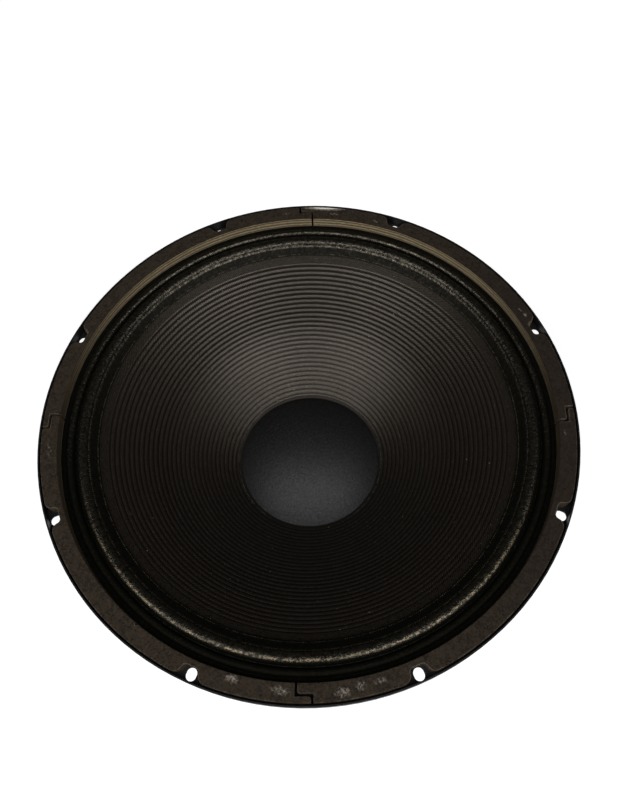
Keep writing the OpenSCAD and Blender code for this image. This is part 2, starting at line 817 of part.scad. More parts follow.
// Flexible lead: a round tube swept along the route, in the upright plane of one lug
module lead(side) {
    sides = 8;
    n = len(lead_route);
    // The last ring stands upright, where the lead runs square into the solder
    heading = [for (i = [0:n - 1])
        i == n - 1 ? [1, 0] : unit(lead_route[i + 1] - lead_route[max(i - 1, 0)])];
    points = [for (i = [0:n - 1], k = [0:sides - 1])
        let (
            a = 360 / sides * (k + 0.5),
            out = [-heading[i].y, heading[i].x] * cos(a) * lead_d / 2
        )
        [lead_route[i].x + out.x, sin(a) * lead_d / 2, lead_route[i].y + out.y]];
    skin = [for (i = [0:n - 2], k = [0:sides - 1])
        let (a = i * sides + k, b = i * sides + (k + 1) % sides)
        each [[a, b, a + sides], [b, b + sides, a + sides]]];
    last = (n - 1) * sides;
    caps = [for (k = [1:sides - 2]) each [[0, k + 1, k], [last, last + k, last + k + 1]]];
    color(copper) at_board(0, side) polyhedron(points, concat(skin, caps));
}

basket();
gasket_segment(0);  // gasket_segment_1
gasket_segment(1);  // gasket_segment_2
gasket_segment(2);  // gasket_segment_3
gasket_segment(3);  // gasket_segment_4
surround();
cone();
dust_cap();
dust_cap_glue();
neck_glue();
cone_eyelets();
voice_coil_former();
voice_coil_winding();
spider();
top_plate();
magnet();
back_plate();
pole_piece();
basket_rivets();
terminal_board();
board_rivets();
solder_lug(1);  // solder_lug_left
solder_lug(-1);  // solder_lug_right
lug_rivets();
solder_joints();
lead(1);  // lead_left
lead(-1);  // lead_right
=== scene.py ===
import math

import bmesh
import bpy
import numpy as np
from mathutils import Matrix, Vector, noise


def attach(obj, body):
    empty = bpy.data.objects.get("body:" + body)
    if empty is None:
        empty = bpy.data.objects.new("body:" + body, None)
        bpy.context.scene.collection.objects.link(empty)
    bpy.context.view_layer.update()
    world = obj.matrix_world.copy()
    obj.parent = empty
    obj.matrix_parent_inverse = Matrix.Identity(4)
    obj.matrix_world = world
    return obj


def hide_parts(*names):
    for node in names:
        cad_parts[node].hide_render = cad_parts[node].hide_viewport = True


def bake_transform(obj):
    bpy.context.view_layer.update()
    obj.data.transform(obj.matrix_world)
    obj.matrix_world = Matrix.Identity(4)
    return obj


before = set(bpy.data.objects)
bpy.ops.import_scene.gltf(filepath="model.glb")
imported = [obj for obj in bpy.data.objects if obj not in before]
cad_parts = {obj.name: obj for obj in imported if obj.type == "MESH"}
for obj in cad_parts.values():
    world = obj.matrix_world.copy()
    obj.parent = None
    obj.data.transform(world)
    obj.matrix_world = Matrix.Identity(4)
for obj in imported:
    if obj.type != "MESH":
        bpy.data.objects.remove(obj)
bpy.context.view_layer.update()

# Camera. It looks down into the cone from above the near edge of the gasket, a little to
# the right of the middle, and is rolled a few degrees. The lens is that of the photograph.
MM = 0.001
gasket_top = 168.4
camera_distance = 541.0
camera_elevation, camera_azimuth, camera_roll = map(math.radians, (65.557, 6.1, -6.391))
camera_pan, camera_tilt = map(math.radians, (-0.2834, -1.3246))
lens_over_height = 752.4 / 800

back = Vector((
    math.sin(camera_azimuth) * math.cos(camera_elevation),
    -math.cos(camera_azimuth) * math.cos(camera_elevation),
    math.sin(camera_elevation),
))
right = Vector((math.cos(camera_azimuth), math.sin(camera_azimuth), 0))
turned = (
    Matrix.Rotation(camera_tilt, 3, "X")
    @ Matrix.Rotation(-camera_pan, 3, "Y")
    @ Matrix.Rotation(-camera_roll, 3, "Z")
    @ Matrix((right, back.cross(right), back))
)
camera = bpy.data.objects.new("camera", bpy.data.cameras.new("camera"))
camera.data.sensor_width = 36
camera.data.lens = 36 * lens_over_height
camera.data.clip_start = 0.01
camera.matrix_world = turned.transposed().to_4x4()
camera.location = (back * camera_distance + Vector((0, 0, gasket_top))) * MM
bpy.context.scene.collection.objects.link(camera)
bpy.context.scene.camera = camera


# Back plate, top plate and pole piece. Turned from mild steel and zinc plated, so their
# faces carry the fine rings of the cutting tool. The solids are right, and get the finish.
class Reading:
    """What one socket gives. Sums on it add the Math nodes that work them out."""

    def __init__(self, plan, socket):
        self.plan, self.socket = plan, socket

    def maths(self, operation, *values):
        return self.plan.node(
            "ShaderNodeMath", {"operation": operation}, dict(enumerate(values))
        )

    def __add__(self, other):
        return self.maths("ADD", self, other)

    def __sub__(self, other):
        return self.maths("SUBTRACT", self, other)

    def __rsub__(self, other):
        return self.maths("SUBTRACT", other, self)

    def __mul__(self, other):
        return self.maths("MULTIPLY", self, other)

    def __truediv__(self, other):
        return self.maths("DIVIDE", self, other)

    def __pow__(self, other):
        return self.maths("POWER", self, other)

    def __gt__(self, other):
        return self.maths("GREATER_THAN", self, other)

    def __lt__(self, other):
        return self.maths("LESS_THAN", self, other)

    __radd__, __rmul__ = __add__, __mul__

    def size(self):
        return self.maths("ABSOLUTE", self)

    def sine(self):
        return self.maths("SINE", self)

    def cosine(self):
        return self.maths("COSINE", self)

    def step(self, low, high):
        """0 below low, 1 above high, and smooth between them; low may be the larger."""
        flip = low > high
        return self.plan.node(
            "ShaderNodeMapRange",
            {"interpolation_type": "SMOOTHSTEP"},
            {0: self, 1: min(low, high), 2: max(low, high), 3: flip * 1.0, 4: 1.0 - flip},
        )

    def step_mm(self, low, high):
        return self.step(low * MM, high * MM)


class Plan:
    """The nodes of one finish or of one grown shape, which are made one at a time."""

    def __init__(self, tree):
        self.tree = tree

    def feed(self, socket, value):
        if isinstance(value, list):
            for part in value:
                self.feed(socket, part)
        elif isinstance(value, Reading):
            self.tree.links.new(value.socket, socket)
        elif socket.type == "RGBA" and len(value) == 3:
            socket.default_value = (*value, 1)
        else:
            socket.default_value = value

    def node(self, kind, settings=(), values=(), give=0):
        """Adds a node, sets it up, fills its sockets, and gives the outputs asked for."""
        made = self.tree.nodes.new(kind)
        for name, value in dict(settings).items():
            setattr(made, name, value)
        for name, value in dict(values).items():
            self.feed(made.inputs[name], value)
        if isinstance(give, tuple):
            return [Reading(self, made.outputs[g]) for g in give]
        return Reading(self, made.outputs[give])

    def vector(self, x, y, z):
        return self.node("ShaderNodeCombineXYZ", values={0: x, 1: y, 2: z})

    def parts(self, vector):
        return self.node("ShaderNodeSeparateXYZ", values={0: vector}, give=(0, 1, 2))


class Finish(Plan):
    """A material on the Principled shader, for one finish of this loudspeaker."""

    def __init__(self, name):
        self.material = bpy.data.materials.new(name)
        self.material.use_nodes = True
        super().__init__(self.material.node_tree)
        self.shader = self.tree.nodes["Principled BSDF"]
        self.point = self.node("ShaderNodeTexCoord", give="Object")

    def place(self, wanted):
        """What is wanted of the point's x, y and z, its radius and its angle."""
        x, y, z = self.parts(self.point)
        found = {"x": x, "y": y, "z": z}
        if "radius" in wanted:
            found["radius"] = (x * x + y * y) ** 0.5
        if "angle" in wanted:
            found["angle"] = y.maths("ARCTAN2", y, x)
        return [found[name] for name in wanted.split()]

    def upward(self):
        """1 where the surface faces up, 0 where it stands, and -1 where it faces down."""
        return self.parts(self.node("ShaderNodeNewGeometry", give="Normal"))[2]

    def cloud(self, size_mm, detail=2.0, roughness=0.5, at=None):
        """Soft noise from 0 to 1, whose lumps are about as wide as size_mm."""
        values = {
            "Vector": at or self.point,
            "Scale": 1 / (size_mm * MM),
            "Detail": detail,
            "Roughness": roughness,
        }
        return self.node("ShaderNodeTexNoise", {}, values)

    def specks(self, apart_mm, size_mm, share):
        """Round specks: about one each apart_mm, of which the given share is there."""
        values = {"Vector": self.point, "Scale": 1 / (apart_mm * MM), "Randomness": 1.0}
        far, tint = self.node("ShaderNodeTexVoronoi", {}, values, ("Distance", "Color"))
        chance = self.node("ShaderNodeSeparateColor", {}, {0: tint})
        half = size_mm / apart_mm / 2
        return far.step(half, half * 0.5) * chance.step(share, 0.0)

    def mix(self, amount, first, second):
        return self.node(
            "ShaderNodeMix", {"data_type": "RGBA"}, {0: amount, 6: first, 7: second}, 2
        )

    def bump(self, height, depth_mm, strength=1.0, under=None):
        values = {"Strength": strength, "Distance": depth_mm * MM, "Height": height}
        if under:
            values["Normal"] = under
        return self.node("ShaderNodeBump", {}, values)

    def put(self, **sockets):
        for name, value in sockets.items():
            self.feed(self.shader.inputs[name.replace("_", " ")], value)

    def dull(self, amount, roughness, specular):
        """Where amount is 1, the same colour and relief show without their sheen."""
        tint = tuple(self.shader.inputs["Specular Tint"].default_value)
        values = {"Roughness": roughness, "Specular IOR Level": specular, "Specular Tint": tint}
        for name in ("Base Color", "Normal"):
            values[name] = Reading(self, self.shader.inputs[name].links[0].from_socket)
        second = self.node("ShaderNodeBsdfPrincipled", {}, values)
        both = {0: amount, 1: Reading(self, self.shader.outputs[0]), 2: second}
        mixed = self.node("ShaderNodeMixShader", {}, both)
        self.feed(self.tree.nodes["Material Output"].inputs["Surface"], mixed)

    def cover(self, piece):
        """Gives this finish to a piece made here."""
        piece.data.materials.append(self.material)

    def on(self, *names):
        """Gives this finish to CAD nodes."""
        for name in names:
            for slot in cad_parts[name].material_slots:
                slot.material = self.material


plated = Finish("zinc_plated_steel")
z, radius, angle = plated.place("z radius angle")
tool_marks = plated.cloud(1.4, 3, at=plated.vector(radius * 6, angle * 0.004, z * 6))
clouding = plated.cloud(22, 4, 0.6)
stain = plated.cloud(7, 5, 0.65).step(0.60, 0.78)
tone = plated.mix(clouding.step(0.3, 0.7), (0.50, 0.50, 0.48), (0.64, 0.64, 0.62))
plated.put(
    Base_Color=plated.mix(stain * 0.55, tone, (0.22, 0.20, 0.16)),
    Metallic=1.0,
    Roughness=0.30 + clouding * 0.12 + tool_marks * 0.10 + stain * 0.2,
    Normal=plated.bump(tool_marks, 0.03, 0.5),
)
plated.on("back_plate", "top_plate", "pole_piece")


# Magnet. A ring of hard ferrite, ground flat on its faces and left as fired on its rim,
# with small chips along its edges. It is glued between the two plates.
magnet_middle, magnet_half = 20.0, 10.0
ferrite = Finish("ferrite")
(z,) = ferrite.place("z")
pores = ferrite.cloud(0.9, 4, 0.7)
tone = ferrite.cloud(14, 4)
from_middle = (z - magnet_middle * MM).size()
at_edges = from_middle.step_mm(magnet_half - 1.8, magnet_half - 0.6)
chipped = ferrite.cloud(3.4, 3).step(0.58, 0.66) * at_edges
dust = ferrite.cloud(9, 6, 0.7).step(0.52, 0.75)
dark = ferrite.mix(tone, (0.030, 0.030, 0.032), (0.058, 0.057, 0.057))
ferrite.put(
    Base_Color=ferrite.mix(chipped * 0.7 + dust * 0.2, dark, (0.15, 0.145, 0.135)),
    Roughness=0.50 + pores * 0.25,
    Specular_IOR_Level=0.5,
    Normal=ferrite.bump(chipped * -1.0, 0.5, 0.6, under=ferrite.bump(pores, 0.06, 0.5)),
)
ferrite.on("magnet")


# Basket. Pressed from one sheet of steel: a floor, a shelf for the spider, a slope with
# eight windows, and a rim with a turned-up lip. It is stoved in black enamel all over.
lip_top, floor_top = 167.2, 40.0
enamel = Finish("black_enamel")
x, y, z = enamel.place("x y z")
peel = enamel.cloud(1.6, 2)
orange_peel = enamel.cloud(0.45, 1)
on_lip = z.step_mm(lip_top - 0.5, lip_top - 0.1)
wear = enamel.cloud(2.2, 5, 0.7).step(0.66, 0.76) * on_lip
lying = enamel.upward().step(0.3, 1.0)
dust = enamel.cloud(5, 6, 0.72).step(0.45, 0.75) * (0.25 + lying * 0.75)
drawn_out = enamel.vector(x * 0.12 + y * 0.5, y * 4 - x, z * 2)
scratches = enamel.cloud(3.0, 4, 0.6, at=drawn_out).step(0.70, 0.74)
tone = enamel.cloud(30, 3)
black = enamel.mix(tone, (0.0040, 0.0040, 0.0042), (0.0080, 0.0078, 0.0078))
dusty = enamel.mix(dust * 0.18, black, (0.050, 0.046, 0.040))
enamel.put(
    Base_Color=enamel.mix(wear * 0.35 + scratches * 0.10, dusty, (0.12, 0.11, 0.10)),
    Roughness=0.42 + dust * 0.30 + peel * 0.10,
    Specular_IOR_Level=0.2,
    Normal=enamel.bump(peel + orange_peel * 0.35, 0.10, 0.5),
)
enamel.on("basket")


# Basket rivets. Eight plated steel rivets hold the basket's floor on the top plate. Each
# has a low round head, pressed a little hollow in the middle by the riveting tool.
def polar(r, degrees):
    return Vector((r * math.cos(math.radians(degrees)), r * math.sin(math.radians(degrees))))


def mesh_of(name, points_mm, faces=()):
    mesh = bpy.data.meshes.new(name)
    mesh.from_pydata([Vector(p) * MM for p in points_mm], [], faces)
    return mesh


def between_rings(rings, count):
    """The faces between each ring of count points and the next."""
    faces = []
    for k in range(rings - 1):
        for i in range(count):
            a, b = k * count + i, k * count + (i + 1) % count
            faces.append((a, b, b + count, a + count))
    return faces


def linked(name, data):
    made = bpy.data.objects.new(name, data)
    bpy.context.scene.collection.objects.link(made)
    return made


class Growth(Plan):
    """A geometry tree with named sizes, whose result becomes a plain mesh."""

    def __init__(self, name, sizes, switches=()):
        super().__init__(bpy.data.node_groups.new(name, "GeometryNodeTree"))
        ends = self.tree.interface
        ends.new_socket("Geometry", in_out="INPUT", socket_type="NodeSocketGeometry")
        ends.new_socket("Geometry", in_out="OUTPUT", socket_type="NodeSocketGeometry")
        self.keys = {}
        for size in (*sizes, *switches):
            kind = "NodeSocketBool" if size in switches else "NodeSocketFloat"
            made = ends.new_socket(size, in_out="INPUT", socket_type=kind)
            self.keys[size] = made.identifier

    def given(self, *names):
        """What the modifier's inputs of these names give."""
        return self.node("NodeGroupInput", give=names)

    def close(self, shape, material):
        """Ends the tree: the copies are made real and take their material."""
        real = self.node("GeometryNodeRealizeInstances", {}, {0: shape})
        values = {"Geometry": real, "Material": material}
        painted = self.node("GeometryNodeSetMaterial", {}, values)
        self.node("NodeGroupOutput", {}, {0: painted}, give=())

    def grow(self, name, mesh, **sizes):
        """A plain mesh object from this tree, grown on mesh with these sizes."""
        made = linked(name, mesh)
        grown = made.modifiers.new("grown", "NODES")
        grown.node_group = self.tree
        for size, value in sizes.items():
            grown[self.keys[size.replace("_", " ")]] = value
        bpy.context.view_layer.update()
        scene = bpy.context.evaluated_depsgraph_get()
        plain = bpy.data.meshes.new_from_object(made.evaluated_get(scene))
        made.modifiers.clear()
        made.data = plain
        plain.name = name
        return made


def riveting(name, material):
    """Grows a rivet at each point: a head on top, a shank, and a foot under the grip."""
    sizes = "Head radius", "Head height", "Dimple", "Shank radius", "Grip", "Foot height"
    made = Growth(name, sizes, switches=("Foot",))
    radius, height, dimple, shank, grip, foot = made.given(*sizes)
    footed, places = made.given("Foot", "Geometry")

    def head(high, over):
        """A ball whose lower half is pressed flat and whose crown is a little hollow."""
        values = {"Segments": 28, "Rings": 20, "Radius": 1.0}
        ball = made.node("GeometryNodeMeshUVSphere", {}, values)
        x, y, z = made.parts(made.node("GeometryNodeInputPosition"))
        out = (x * x + y * y) ** 0.5
        crown = z.maths("MAXIMUM", z, 0.0) ** 0.8 - out.step(0.42, 0.05) * over
        where = made.vector(x * radius, y * radius, crown * high)
        return made.node("GeometryNodeSetPosition", {}, {0: ball, "Position": where})

    def lowered(shape, down, **more):
        low = made.vector(0.0, 0.0, down * -1.0)
        values = {"Geometry": shape, "Translation": low, **more}
        return made.node("GeometryNodeTransform", {}, values)

    values = {"Vertices": 20, "Radius": shank, "Depth": grip}
    tube = made.node("GeometryNodeMeshCylinder", {}, values)
    foot_head = lowered(
        head(foot, 0.0), grip, Rotation=(math.pi, 0, 0), Scale=(0.84, 0.84, 1.0)
    )
    values = {"Switch": footed, "True": foot_head}
    foot_head = made.node("GeometryNodeSwitch", {"input_type": "GEOMETRY"}, values)
    parts = [head(height, dimple), lowered(tube, grip * 0.5), foot_head]
    whole = made.node("GeometryNodeJoinGeometry", {}, {0: parts})
    values = {0: places, "Instance": whole}
    made.close(made.node("GeometryNodeInstanceOnPoints", {}, values), material)
    return made


def smooth(piece, sharp_degrees=35):
    piece.data.polygons.foreach_set("use_smooth", [True] * len(piece.data.polygons))
    piece.data.set_sharp_from_angle(angle=math.radians(sharp_degrees))
    return piece


def cloudy_metal(name, lump_mm, colours, roughness, relief):
    """A bare metal, with soft clouds in its colour, its polish and its relief."""
    metal = Finish(name)
    clouds = metal.cloud(lump_mm, 4, 0.6)
    metal.put(
        Base_Color=metal.mix(clouds, *colours),
        Metallic=1.0,
        Roughness=roughness[0] + clouds * roughness[1],
        Normal=metal.bump(clouds, *relief),
    )
    return metal


steels = (0.42, 0.41, 0.38), (0.60, 0.59, 0.56)
rivet_steel = cloudy_metal("rivet_steel", 1.3, steels, (0.28, 0.25), (0.03, 0.4))
steel_rivets = riveting("steel_rivets", rivet_steel.material)
rivet_circle, rivet_count, head_clearance = 58.0, 8, 0.05
rivet_places = [
    (*polar(rivet_circle, 360 / rivet_count * i), floor_top + head_clearance)
    for i in range(rivet_count)
]
basket_rivets = steel_rivets.grow(
    "rivets_in_the_basket_floor",
    mesh_of("basket_rivet_places", rivet_places),
    Head_radius=4.5 * MM,
    Head_height=2.25 * MM,
    Dimple=0.12,
    Shank_radius=2.5 * MM,
    Grip=6.9 * MM,
    Foot_height=1 * MM,
    Foot=False,
)
smooth(basket_rivets)
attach(basket_rivets, "frame")
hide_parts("basket_rivets")


# Voice coil. Copper wire wound in two layers on a tube of kraft paper, and varnished. The
# tube is glued into the cone's neck, and the wire hangs in the gap round the pole piece.
wire_pitch = 0.34
wire = Finish("varnished_copper_wire")
z, angle = wire.place("z angle")
turns = (z * (math.tau / (wire_pitch * MM)) + angle).sine()
varnish = wire.cloud(6, 3)
wire.put(
    Base_Color=wire.mix(varnish, (0.50, 0.17, 0.07), (0.66, 0.30, 0.14)),
    Metallic=0.85,
    Roughness=0.30 + varnish * 0.15,
    Coat_Weight=0.6,
    Normal=wire.bump(turns, 0.10, 0.9),
)
wire.on("voice_coil_winding")

kraft = Finish("kraft_paper")
x, y, z, angle = kraft.place("x y z angle")
fibres = kraft.cloud(2.0, 5, 0.65, at=kraft.vector(x, y, z * 5))
lap_spiral = (angle + z * 55).sine().step(0.985, 0.995)
tone = kraft.mix(fibres, (0.36, 0.235, 0.115), (0.52, 0.36, 0.20))
kraft.put(
    Base_Color=kraft.mix(lap_spiral * 0.5, tone, (0.22, 0.13, 0.06)),
    Roughness=0.72 - fibres * 0.15,
    Specular_IOR_Level=0.3,
    Normal=kraft.bump(fibres - lap_spiral, 0.05, 0.6),
)
kraft.on("voice_coil_former")


# Spider. A disc of open cotton, stiffened with phenolic resin and pressed hot into five
# waves. It is glued to the basket's shelf and round the voice coil, and centres the cone.
def turn(name, outline, steps=288, wobble=None):
    """Turns a closed outline of (radius, height) in mm about the axis into a mesh."""
    outline = np.asarray(outline, float)
    nxt = np.roll(outline, -1, 0)
    area = np.sum(outline[:, 0] * nxt[:, 1] - nxt[:, 0] * outline[:, 1])
    if area < 0:
        outline = outline[::-1]
    count = len(outline)
    turns = np.linspace(0, math.tau, steps, endpoint=False)
    r = np.tile(outline[:, 0], (steps, 1))
    h = np.tile(outline[:, 1], (steps, 1))
    if wobble:
        dr, dh = wobble(r, h, turns[:, None])
        r, h = r + dr, h + dh
    points = np.stack(
        [r * np.cos(turns)[:, None], r * np.sin(turns)[:, None], h], -1
    ).reshape(-1, 3)
    i, k = np.meshgrid(np.arange(steps), np.arange(count), indexing="ij")
    j, m = (i + 1) % steps, (k + 1) % count
    faces = np.stack([i * count + k, j * count + k, j * count + m, i * count + m], -1)
    mesh = bpy.data.meshes.new(name)
    mesh.from_pydata((points * MM).tolist(), [], faces.reshape(-1, 4).tolist())
    shape = bmesh.new()
    shape.from_mesh(mesh)
    bmesh.ops.remove_doubles(shape, verts=shape.verts, dist=1e-7)
    shape.to_mesh(mesh)
    shape.free()
    return smooth(linked(name, mesh), 40)


def sheet(path, thickness):
    """The outline of a sheet of this thickness whose middle follows the path."""
    path = np.asarray(path, float)
    along = np.gradient(path, axis=0)
    along /= np.linalg.norm(along, axis=1)[:, None]
    left = np.stack([-along[:, 1], along[:, 0]], -1) * thickness / 2
    return np.concatenate([path + left, (path - left)[::-1]])


def blend_outwards(piece):
    """For a round piece: lays each point on X at its own distance from the axis, bakes the
    piece's placement into its mesh, and then puts the points back."""
    mesh = piece.data
    placed = np.zeros(len(mesh.vertices) * 3)
    mesh.vertices.foreach_get("co", placed)
    points = placed.reshape(-1, 3)
    on_x = np.zeros_like(points)
    on_x[:, 0] = np.hypot(points[:, 0], points[:, 1])
    mesh.vertices.foreach_set("co", on_x.ravel())
    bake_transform(piece)
    mesh.vertices.foreach_set("co", placed)
    mesh.update()


shelf_top, spider_outer, spider_bore = 57.0, 86.5, 32.1
wave_outer, wave_inner, wave_count, wave_height = 77.5, 36.1, 5, 2.0
spider_thickness, cuff_bend, cuff_height = 0.6, 2.6, 3.2
spider_level = shelf_top + spider_thickness / 2
cuff_radius = spider_bore + spider_thickness / 2
path = [(spider_outer - i * 1.5, spider_level) for i in range(6)]
wave_steps = 24 * wave_count
for i in range(wave_steps + 1):
    share = i / wave_steps
    path.append((
        wave_outer + (wave_inner - wave_outer) * share,
        spider_level + wave_height * math.sin(math.tau * wave_count * share),
    ))
for degrees in range(0, 91, 15):
    a = math.radians(degrees)
    path.append((
        cuff_radius + cuff_bend * (1 - math.sin(a)),
        spider_level + cuff_bend * (1 - math.cos(a)),
    ))
path.append((cuff_radius, shelf_top + cuff_height))
spider = turn("waved_spider", sheet(path, spider_thickness), 240)

resin_cotton = Finish("resin_cotton")
x, y = resin_cotton.place("x y")
thread = 0.75 * MM
warp = (x * (math.pi / thread)).sine()
weft = (y * (math.pi / thread)).sine()
over_under = (warp * weft).step(-0.5, 0.5)
weave = warp.size() * over_under + weft.size() * (1 - over_under)
holes = (warp.size() * weft.size()).step(0.25, 0.05)
patchy = resin_cotton.cloud(16, 4)
threads = resin_cotton.mix(patchy, (0.33, 0.185, 0.065), (0.47, 0.29, 0.12))
resin_cotton.put(
    Base_Color=resin_cotton.mix(holes * 0.75, threads, (0.10, 0.05, 0.018)),
    Roughness=0.62 - weave * 0.12,
    Specular_IOR_Level=0.4,
    Normal=resin_cotton.bump(weave, 0.16, 0.9),
)
resin_cotton.cover(spider)
blend_outwards(spider)
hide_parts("spider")


# Cone. Felted black paper, pressed with 29 fine grooves between its plain edge and the
# dust cap, over a wire screen whose crossed lines still show all over its face.
cone_edge, cone_edge_z, cone_slope = 158.6, 157.2, math.tan(math.radians(35.8))
cone_neck, cone_thickness = 31.85, 0.8
first_groove, groove_pitch, groove_count = 146.6, 3.1, 29
groove_depth = 0.5


def cone_face(r):
    """Height of the cone's front face at distance r from the axis, in mm."""
    return cone_edge_z - (cone_edge - r) * cone_slope


def off_groove(r, first, pitch):
    """How far r lies from the middle of the nearest groove, as a share of the pitch."""
    return r.maths("FRACT", (r - first) / pitch + 0.5) - 0.5


def cone_growth(material):
    """Grows the cone: a grid of rows along its side, bent round, grooved and thickened."""
    sizes = (
        "Neck radius", "Edge radius", "Edge height", "Slope", "First groove",
        "Groove pitch", "Grooves", "Groove depth", "Thickness",
    )
    made = Growth("ribbed_cone", sizes)
    neck, edge, edge_z, slope, first, pitch, grooves, deepest, thick = made.given(*sizes)
    neck_rows, rib_rows, edge_rows, around = 6, groove_count * 7, 8, 228
    rows = neck_rows + rib_rows + edge_rows
    values = {"Size X": 1.0, "Size Y": 1.0, "Vertices X": rows + 1, "Vertices Y": around + 1}
    grid = made.node("GeometryNodeMeshGrid", {}, values)
    u, v, _ = made.parts(made.node("GeometryNodeInputPosition"))
    row = (u + 0.5) * rows
    ribs_in = first - pitch * (grooves - 0.5)
    ribs_out = first + pitch * 0.5

    r, done = neck, 0
    spans = ribs_in - neck, ribs_out - ribs_in, edge - ribs_out
    for more, width in zip((neck_rows, rib_rows, edge_rows), spans):
        values = {0: row, 1: float(done), 2: float(done + more)}
        r = r + made.node("ShaderNodeMapRange", {}, values) * width
        done += more
    inside = (r > ribs_in) * (r < ribs_out)
    r = r - inside * pitch * 0.045 * (off_groove(r, first, pitch) * math.tau).sine()
    away = off_groove(r, first, pitch).size()
    depth = deepest * (0.55 + r.step(0.07, 0.125) * 0.45)
    groove = away.step(0.26, 0.03) * 0.75 + (0.5 - away) * (0.5 - away) * 1.5
    height = edge_z - (edge - r) * slope - groove * inside * depth
    turn_angle = (v + 0.5) * math.tau
    where = made.vector(r * turn_angle.cosine(), r * turn_angle.sine(), height)
    bent = made.node("GeometryNodeSetPosition", {}, {0: grid, "Position": where})
    closed = made.node("GeometryNodeMergeByDistance", {}, {0: bent, "Distance": 1e-6})

    def outwards(far):
        values = {0: made.node("GeometryNodeInputNormal"), "Scale": far}
        return made.node("ShaderNodeVectorMath", {"operation": "SCALE"}, values)

    values = {0: closed, "Offset": outwards(thick * -1.0)}
    under = made.node("GeometryNodeSetPosition", {}, values)
    values = {0: under, "Offset": outwards(thick), "Offset Scale": 1.0, "Individual": False}
    walls = made.node("GeometryNodeExtrudeMesh", {"mode": "FACES"}, values)
    back_face = made.node("GeometryNodeFlipFaces", {}, {0: under})
    whole = made.node("GeometryNodeJoinGeometry", {}, {0: [walls, back_face]})
    values = {0: whole, "Distance": 1e-6}
    made.close(made.node("GeometryNodeMergeByDistance", {}, values), material)
    return made


paper = Finish("black_cone_paper")
y, radius, angle = paper.place("y radius angle")
screen_turns, screen_rise = 393, 680.0
log_r = radius.maths("LOGARITHM", radius, math.e)
falling = (log_r * screen_rise + angle * screen_turns).sine()
rising = (log_r * screen_rise - angle * screen_turns).sine()
screen = falling * 0.6 + rising * 0.4
felt = paper.cloud(1.5, 3, 0.8).step(0.30, 0.70)
tone = paper.cloud(26, 4, 0.55)
ribs_in = (first_groove - groove_pitch * (groove_count - 0.5)) * MM
ribs_out = (first_groove + groove_pitch * 0.5) * MM
fade = groove_pitch * 0.1 * MM
ribbed = radius.step(ribs_in, ribs_in + fade * 2) * radius.step(ribs_out, ribs_out - fade)
from_groove = off_groove(radius, first_groove * MM, groove_pitch * MM).size()
in_groove = from_groove.step(0.26, 0.12) * ribbed
settled = 0.25 + radius.step_mm(92, 62) * y.step_mm(-10, 30) * 0.75
lint = paper.specks(7, 1.0, 0.5) + paper.specks(2.6, 0.8, 0.6) * settled
base = paper.mix(tone, (0.0016, 0.0013, 0.0010), (0.0030, 0.0024, 0.0020))
lines = screen.step(-0.6, 0.6)
outer_dust = 0.8 + radius.step_mm(100, 142) * 0.6
grained = paper.mix((felt * 0.5 + lines * 0.5) * outer_dust, base, (0.0098, 0.0078, 0.0060))
powder = radius.step_mm(146, 149) * felt
powdered = paper.mix(powder * 0.4, grained, (0.026, 0.022, 0.017))
# Painted shade: the grooves are painted darker than the paper round them.
groove_shaded = paper.mix(in_groove * 0.22, powdered, (0.0006, 0.0005, 0.0004))
paper.put(
    Base_Color=paper.mix(lint * 0.7, groove_shaded, (0.24, 0.21, 0.16)),
    Roughness=0.29 + felt * 0.10,
    IOR=1.6,
    Specular_IOR_Level=0.85,
    Specular_Tint=(1.0, 0.885, 0.75),
    Normal=paper.bump(screen, 0.04, 1.0, under=paper.bump(felt, 0.025, 1.0)),
)
near_cap = radius.step_mm(118, 94)
polish = (felt * 0.35 + lines * 0.65) * 0.8 + 0.03 + near_cap * 0.14
bright = polish * (1 - in_groove * (0.85 - near_cap * 0.30)) * (0.16 + ribbed * 0.84)
paper.dull(1 - bright, 0.6, 0.06)
cone = cone_growth(paper.material).grow(
    "ribbed_paper_cone",
    bpy.data.meshes.new("ribbed_paper_cone"),
    Neck_radius=cone_neck * MM,
    Edge_radius=cone_edge * MM,
    Edge_height=cone_edge_z * MM,
    Slope=cone_slope,
    First_groove=first_groove * MM,
    Groove_pitch=groove_pitch * MM,
    Grooves=float(groove_count),
    Groove_depth=groove_depth * MM,
    Thickness=cone_thickness * MM,
)
smooth(cone, 50)
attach(cone, "moving_cone")
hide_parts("cone")


# Cone neck. The paper ends in a short upright collar round the voice coil, and a bead of
# dark glue fills the corner between the collar and the tube.
collar_bore, collar_back, collar_foot = 31.8, 32.7, 62.9
collar = turn(
    "cone_neck_collar",
    [
        (collar_bore, collar_foot),
        (collar_back, collar_foot),
        (collar_back, cone_face(collar_back) - 0.6),
        (collar_back - 0.3, cone_face(collar_back - 0.3) + 0.1),
        (collar_bore, cone_face(collar_bore) + 0.3),
    ],
    160,
)
paper.cover(collar)
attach(collar, "moving_cone")

glue = Finish("dark_glue")
x, radius = glue.place("x radius")
skin = glue.cloud(2.4, 3)
# Painted highlight: a pale line along the bead's outer foot, at the left and right sides only.
bead_foot_highlight = radius.step_mm(57.6, 58.0) * skin.step(0.35, 0.6)
bead_foot_highlight = bead_foot_highlight * x.size().step_mm(22, 44)
dark = glue.mix(skin, (0.0036, 0.0031, 0.0027), (0.0064, 0.0056, 0.0048))
glue.put(
    Base_Color=glue.mix(bead_foot_highlight * 0.5, dark, (0.080, 0.072, 0.064)),
    Roughness=0.42 + skin * 0.12,
    Specular_IOR_Level=0.20,
    Specular_Tint=(1.0, 0.90, 0.78),
    Normal=glue.bump(skin, 0.2, 0.6),
)
glue.on("neck_glue")


# Eyelets. Two hollow brass rivets through the cone, under the dust cap, to which the
# flexible leads are soldered from behind.
brasses = (0.56, 0.38, 0.14), (0.30, 0.19, 0.07)
cloudy_metal("brass", 1.8, brasses, (0.26, 0.3), (0.02, 0.4)).on("cone_eyelets")


